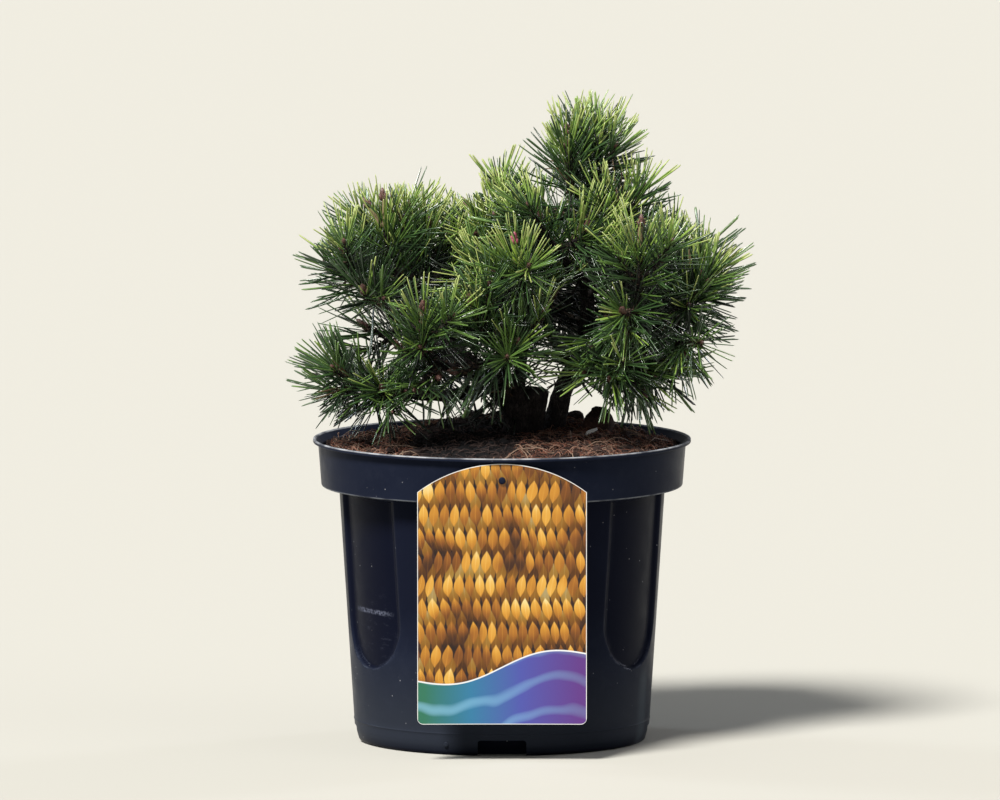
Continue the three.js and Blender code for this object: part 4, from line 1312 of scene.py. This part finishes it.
def grow_side_shoot(crown, twig, share, number, tone, rng):
    """A finer twig that leaves a shoot, unless its end would close a gap or meet the soil."""
    centre, ahead, side, across = twig.frame(share)
    outward = round_axis(number * GOLDEN + rng.random() * 2, side, across)
    heading = unit(outward * 0.8 + ahead * 0.75)
    length = rng.uniform(22, 32)
    tip = centre + heading * length * 0.8 + ahead * length * 0.2 + UP * length * 0.18
    if tip[2] < LOWEST_NEEDLE_Z + 8 or closes_gap(tip):
        return
    path = bezier(centre, centre + heading * length * 0.5, tip, steps=20)
    shares = np.linspace(0, 1, int(length / 2))
    tube(crown.twigs, path, shares, lerp(1.5, 1.1, shares), 6)
    gap, short, lean = SIDE_SHOOT
    grow_needles(crown, path, (0.1, 0.97), gap, NEEDLE_LENGTH * short, 1.2, tone - 0.08, rng, lean)
    add_bud(crown.buds, path.at(1.0) - ahead, path.ahead(1.0), rng.uniform(3.6, 4.8), 1.2, rng)


def grow_shoot(crown, twig, tone, candles, candle_slots, rng):
    """A twig with its needles and buds, and the finer twigs that leave it."""
    leafy_from = max(0.12, 1 - LEAFY_LENGTH / twig.length)
    shares = np.linspace(0, 1, int(twig.length / 1.8))
    tube(crown.twigs, twig, shares, lerp(TWIG_RADIUS, 1.5, shares), 8,
         lambda points: 0.28 * scales(*points.shape[:2], 1.9))
    grow_needles(crown, twig, (leafy_from, 0.985), NEEDLE_GAP, NEEDLE_LENGTH, 1.8, tone, rng)
    if leafy_from > 0.15:
        gap, short, lean = BARE_SHOOT
        grow_needles(crown, twig, (0.1, leafy_from), gap, NEEDLE_LENGTH * short, 1.9, tone - 0.3, rng, lean)
    tip = twig.at(1.0)
    ahead = twig.ahead(1.0)
    side, across = (rows[1] for rows in twig.frames(np.array([0.97, 1.0]))[2:])
    for k, length in enumerate(candles):
        aside = CANDLE_SPREAD * k * np.array([-1.0, 0, 0])
        add_candle(crown.buds, tip - ahead + aside * 5, unit(ahead + aside), length, rng, *candle_slots)
    if not candles:
        add_bud(crown.buds, tip - ahead, ahead, rng.uniform(6.5, 8.5), 1.9, rng)
    for k in range(rng.integers(1, 4)):
        outward = round_axis(k * 2.1 + rng.random(), side, across)
        way = unit(ahead + outward * 0.55)
        add_bud(crown.buds, tip - ahead * 2, way, rng.uniform(3.8, 5.2), 1.3, rng)
    for k in range(2):
        share = lerp(0.4, 0.74, (k + rng.random()) / 2)
        grow_side_shoot(crown, twig, share, k, tone, rng)


def grow_mass(crown, limb, fresh_and_lit, shoots, candle_slots, rng):
    """A limb's end, drawn out to the fork that all of a mass's shoots leave."""
    path, radius_at = limb
    heading = path.ahead(1.0)
    root = path.at(1.0)
    fork = root + heading * FORK_STEP
    girth = float(radius_at(1.0))
    stem = Path([root - heading * 4, root, fork + heading])
    tube(crown.twigs, stem, [0, 0.4, 0.8, 1], [girth, girth, girth, TWIG_RADIUS], 10)
    for x, y, z, lift, *candles in shoots:
        tip = np.array([x, y, z], float)
        reach = np.linalg.norm(tip - fork)
        ending = unit((tip - fork) / reach * (1 - lift) + UP * lift)
        twig = bezier(fork, fork + heading * 0.3 * reach, tip - ending * 0.36 * reach, tip)
        grow_shoot(crown, twig, fresh_and_lit + rng.normal(0, 0.06), candles, candle_slots, rng)


def build_shoots(limbs):
    crown = Crown()
    for index, (name, (limb, fresh_and_lit, shoots)) in enumerate(MASSES.items()):
        candle_slots = PINK_CANDLE if name == PINK_CANDLE_MASS else CANDLE
        grow_mass(crown, limbs[limb], fresh_and_lit, shoots, candle_slots, np.random.default_rng(500 + index))
    rng = np.random.default_rng(600)
    length, tone, lean = OLD_NEEDLES
    for name, (start, end, spacing) in LEAFY_LIMBS.items():
        path, radius_at = limbs[name]
        girth = float(radius_at((start + end) / 2))
        grow_needles(crown, path, (start, end), spacing, length, girth, tone, rng, lean)

    nodes = list(MASSES)
    make_piece("twigs", crown.twigs, [bark_look("twig_bark", 1.3)], nodes)
    sheath_look = plain_look("sheath", (0.05, 0.032, 0.02), 0.8, 0.3)
    sheaths = np.concatenate(crown.sheaths)
    make_many("needle_sheaths", sheaths, sheath_mesh, MOST_SHEATHS, [sheath_look])
    make_piece("buds", crown.buds, [plain_look(*row) for row in BUD_TINTS])
    needles = np.concatenate(crown.needles)
    looks = [plain_look(*row) for row in TINTS]
    for tint, (name, *_) in enumerate(TINTS):
        own = [looks[tint], looks[min(tint + 1, TIP)], looks[min(tint + 2, TIP)]]
        make_many(name, needles[needles[:, 14] == tint], needle_mesh, MOST_NEEDLES, own, nodes)


# ---------------------------------------------------------------- assembly
build_camera()
build_stage()
build_pot()
build_card()
build_soil()
limb_plan = plan_limbs()
build_limbs(limb_plan)
build_shoots(limb_plan)
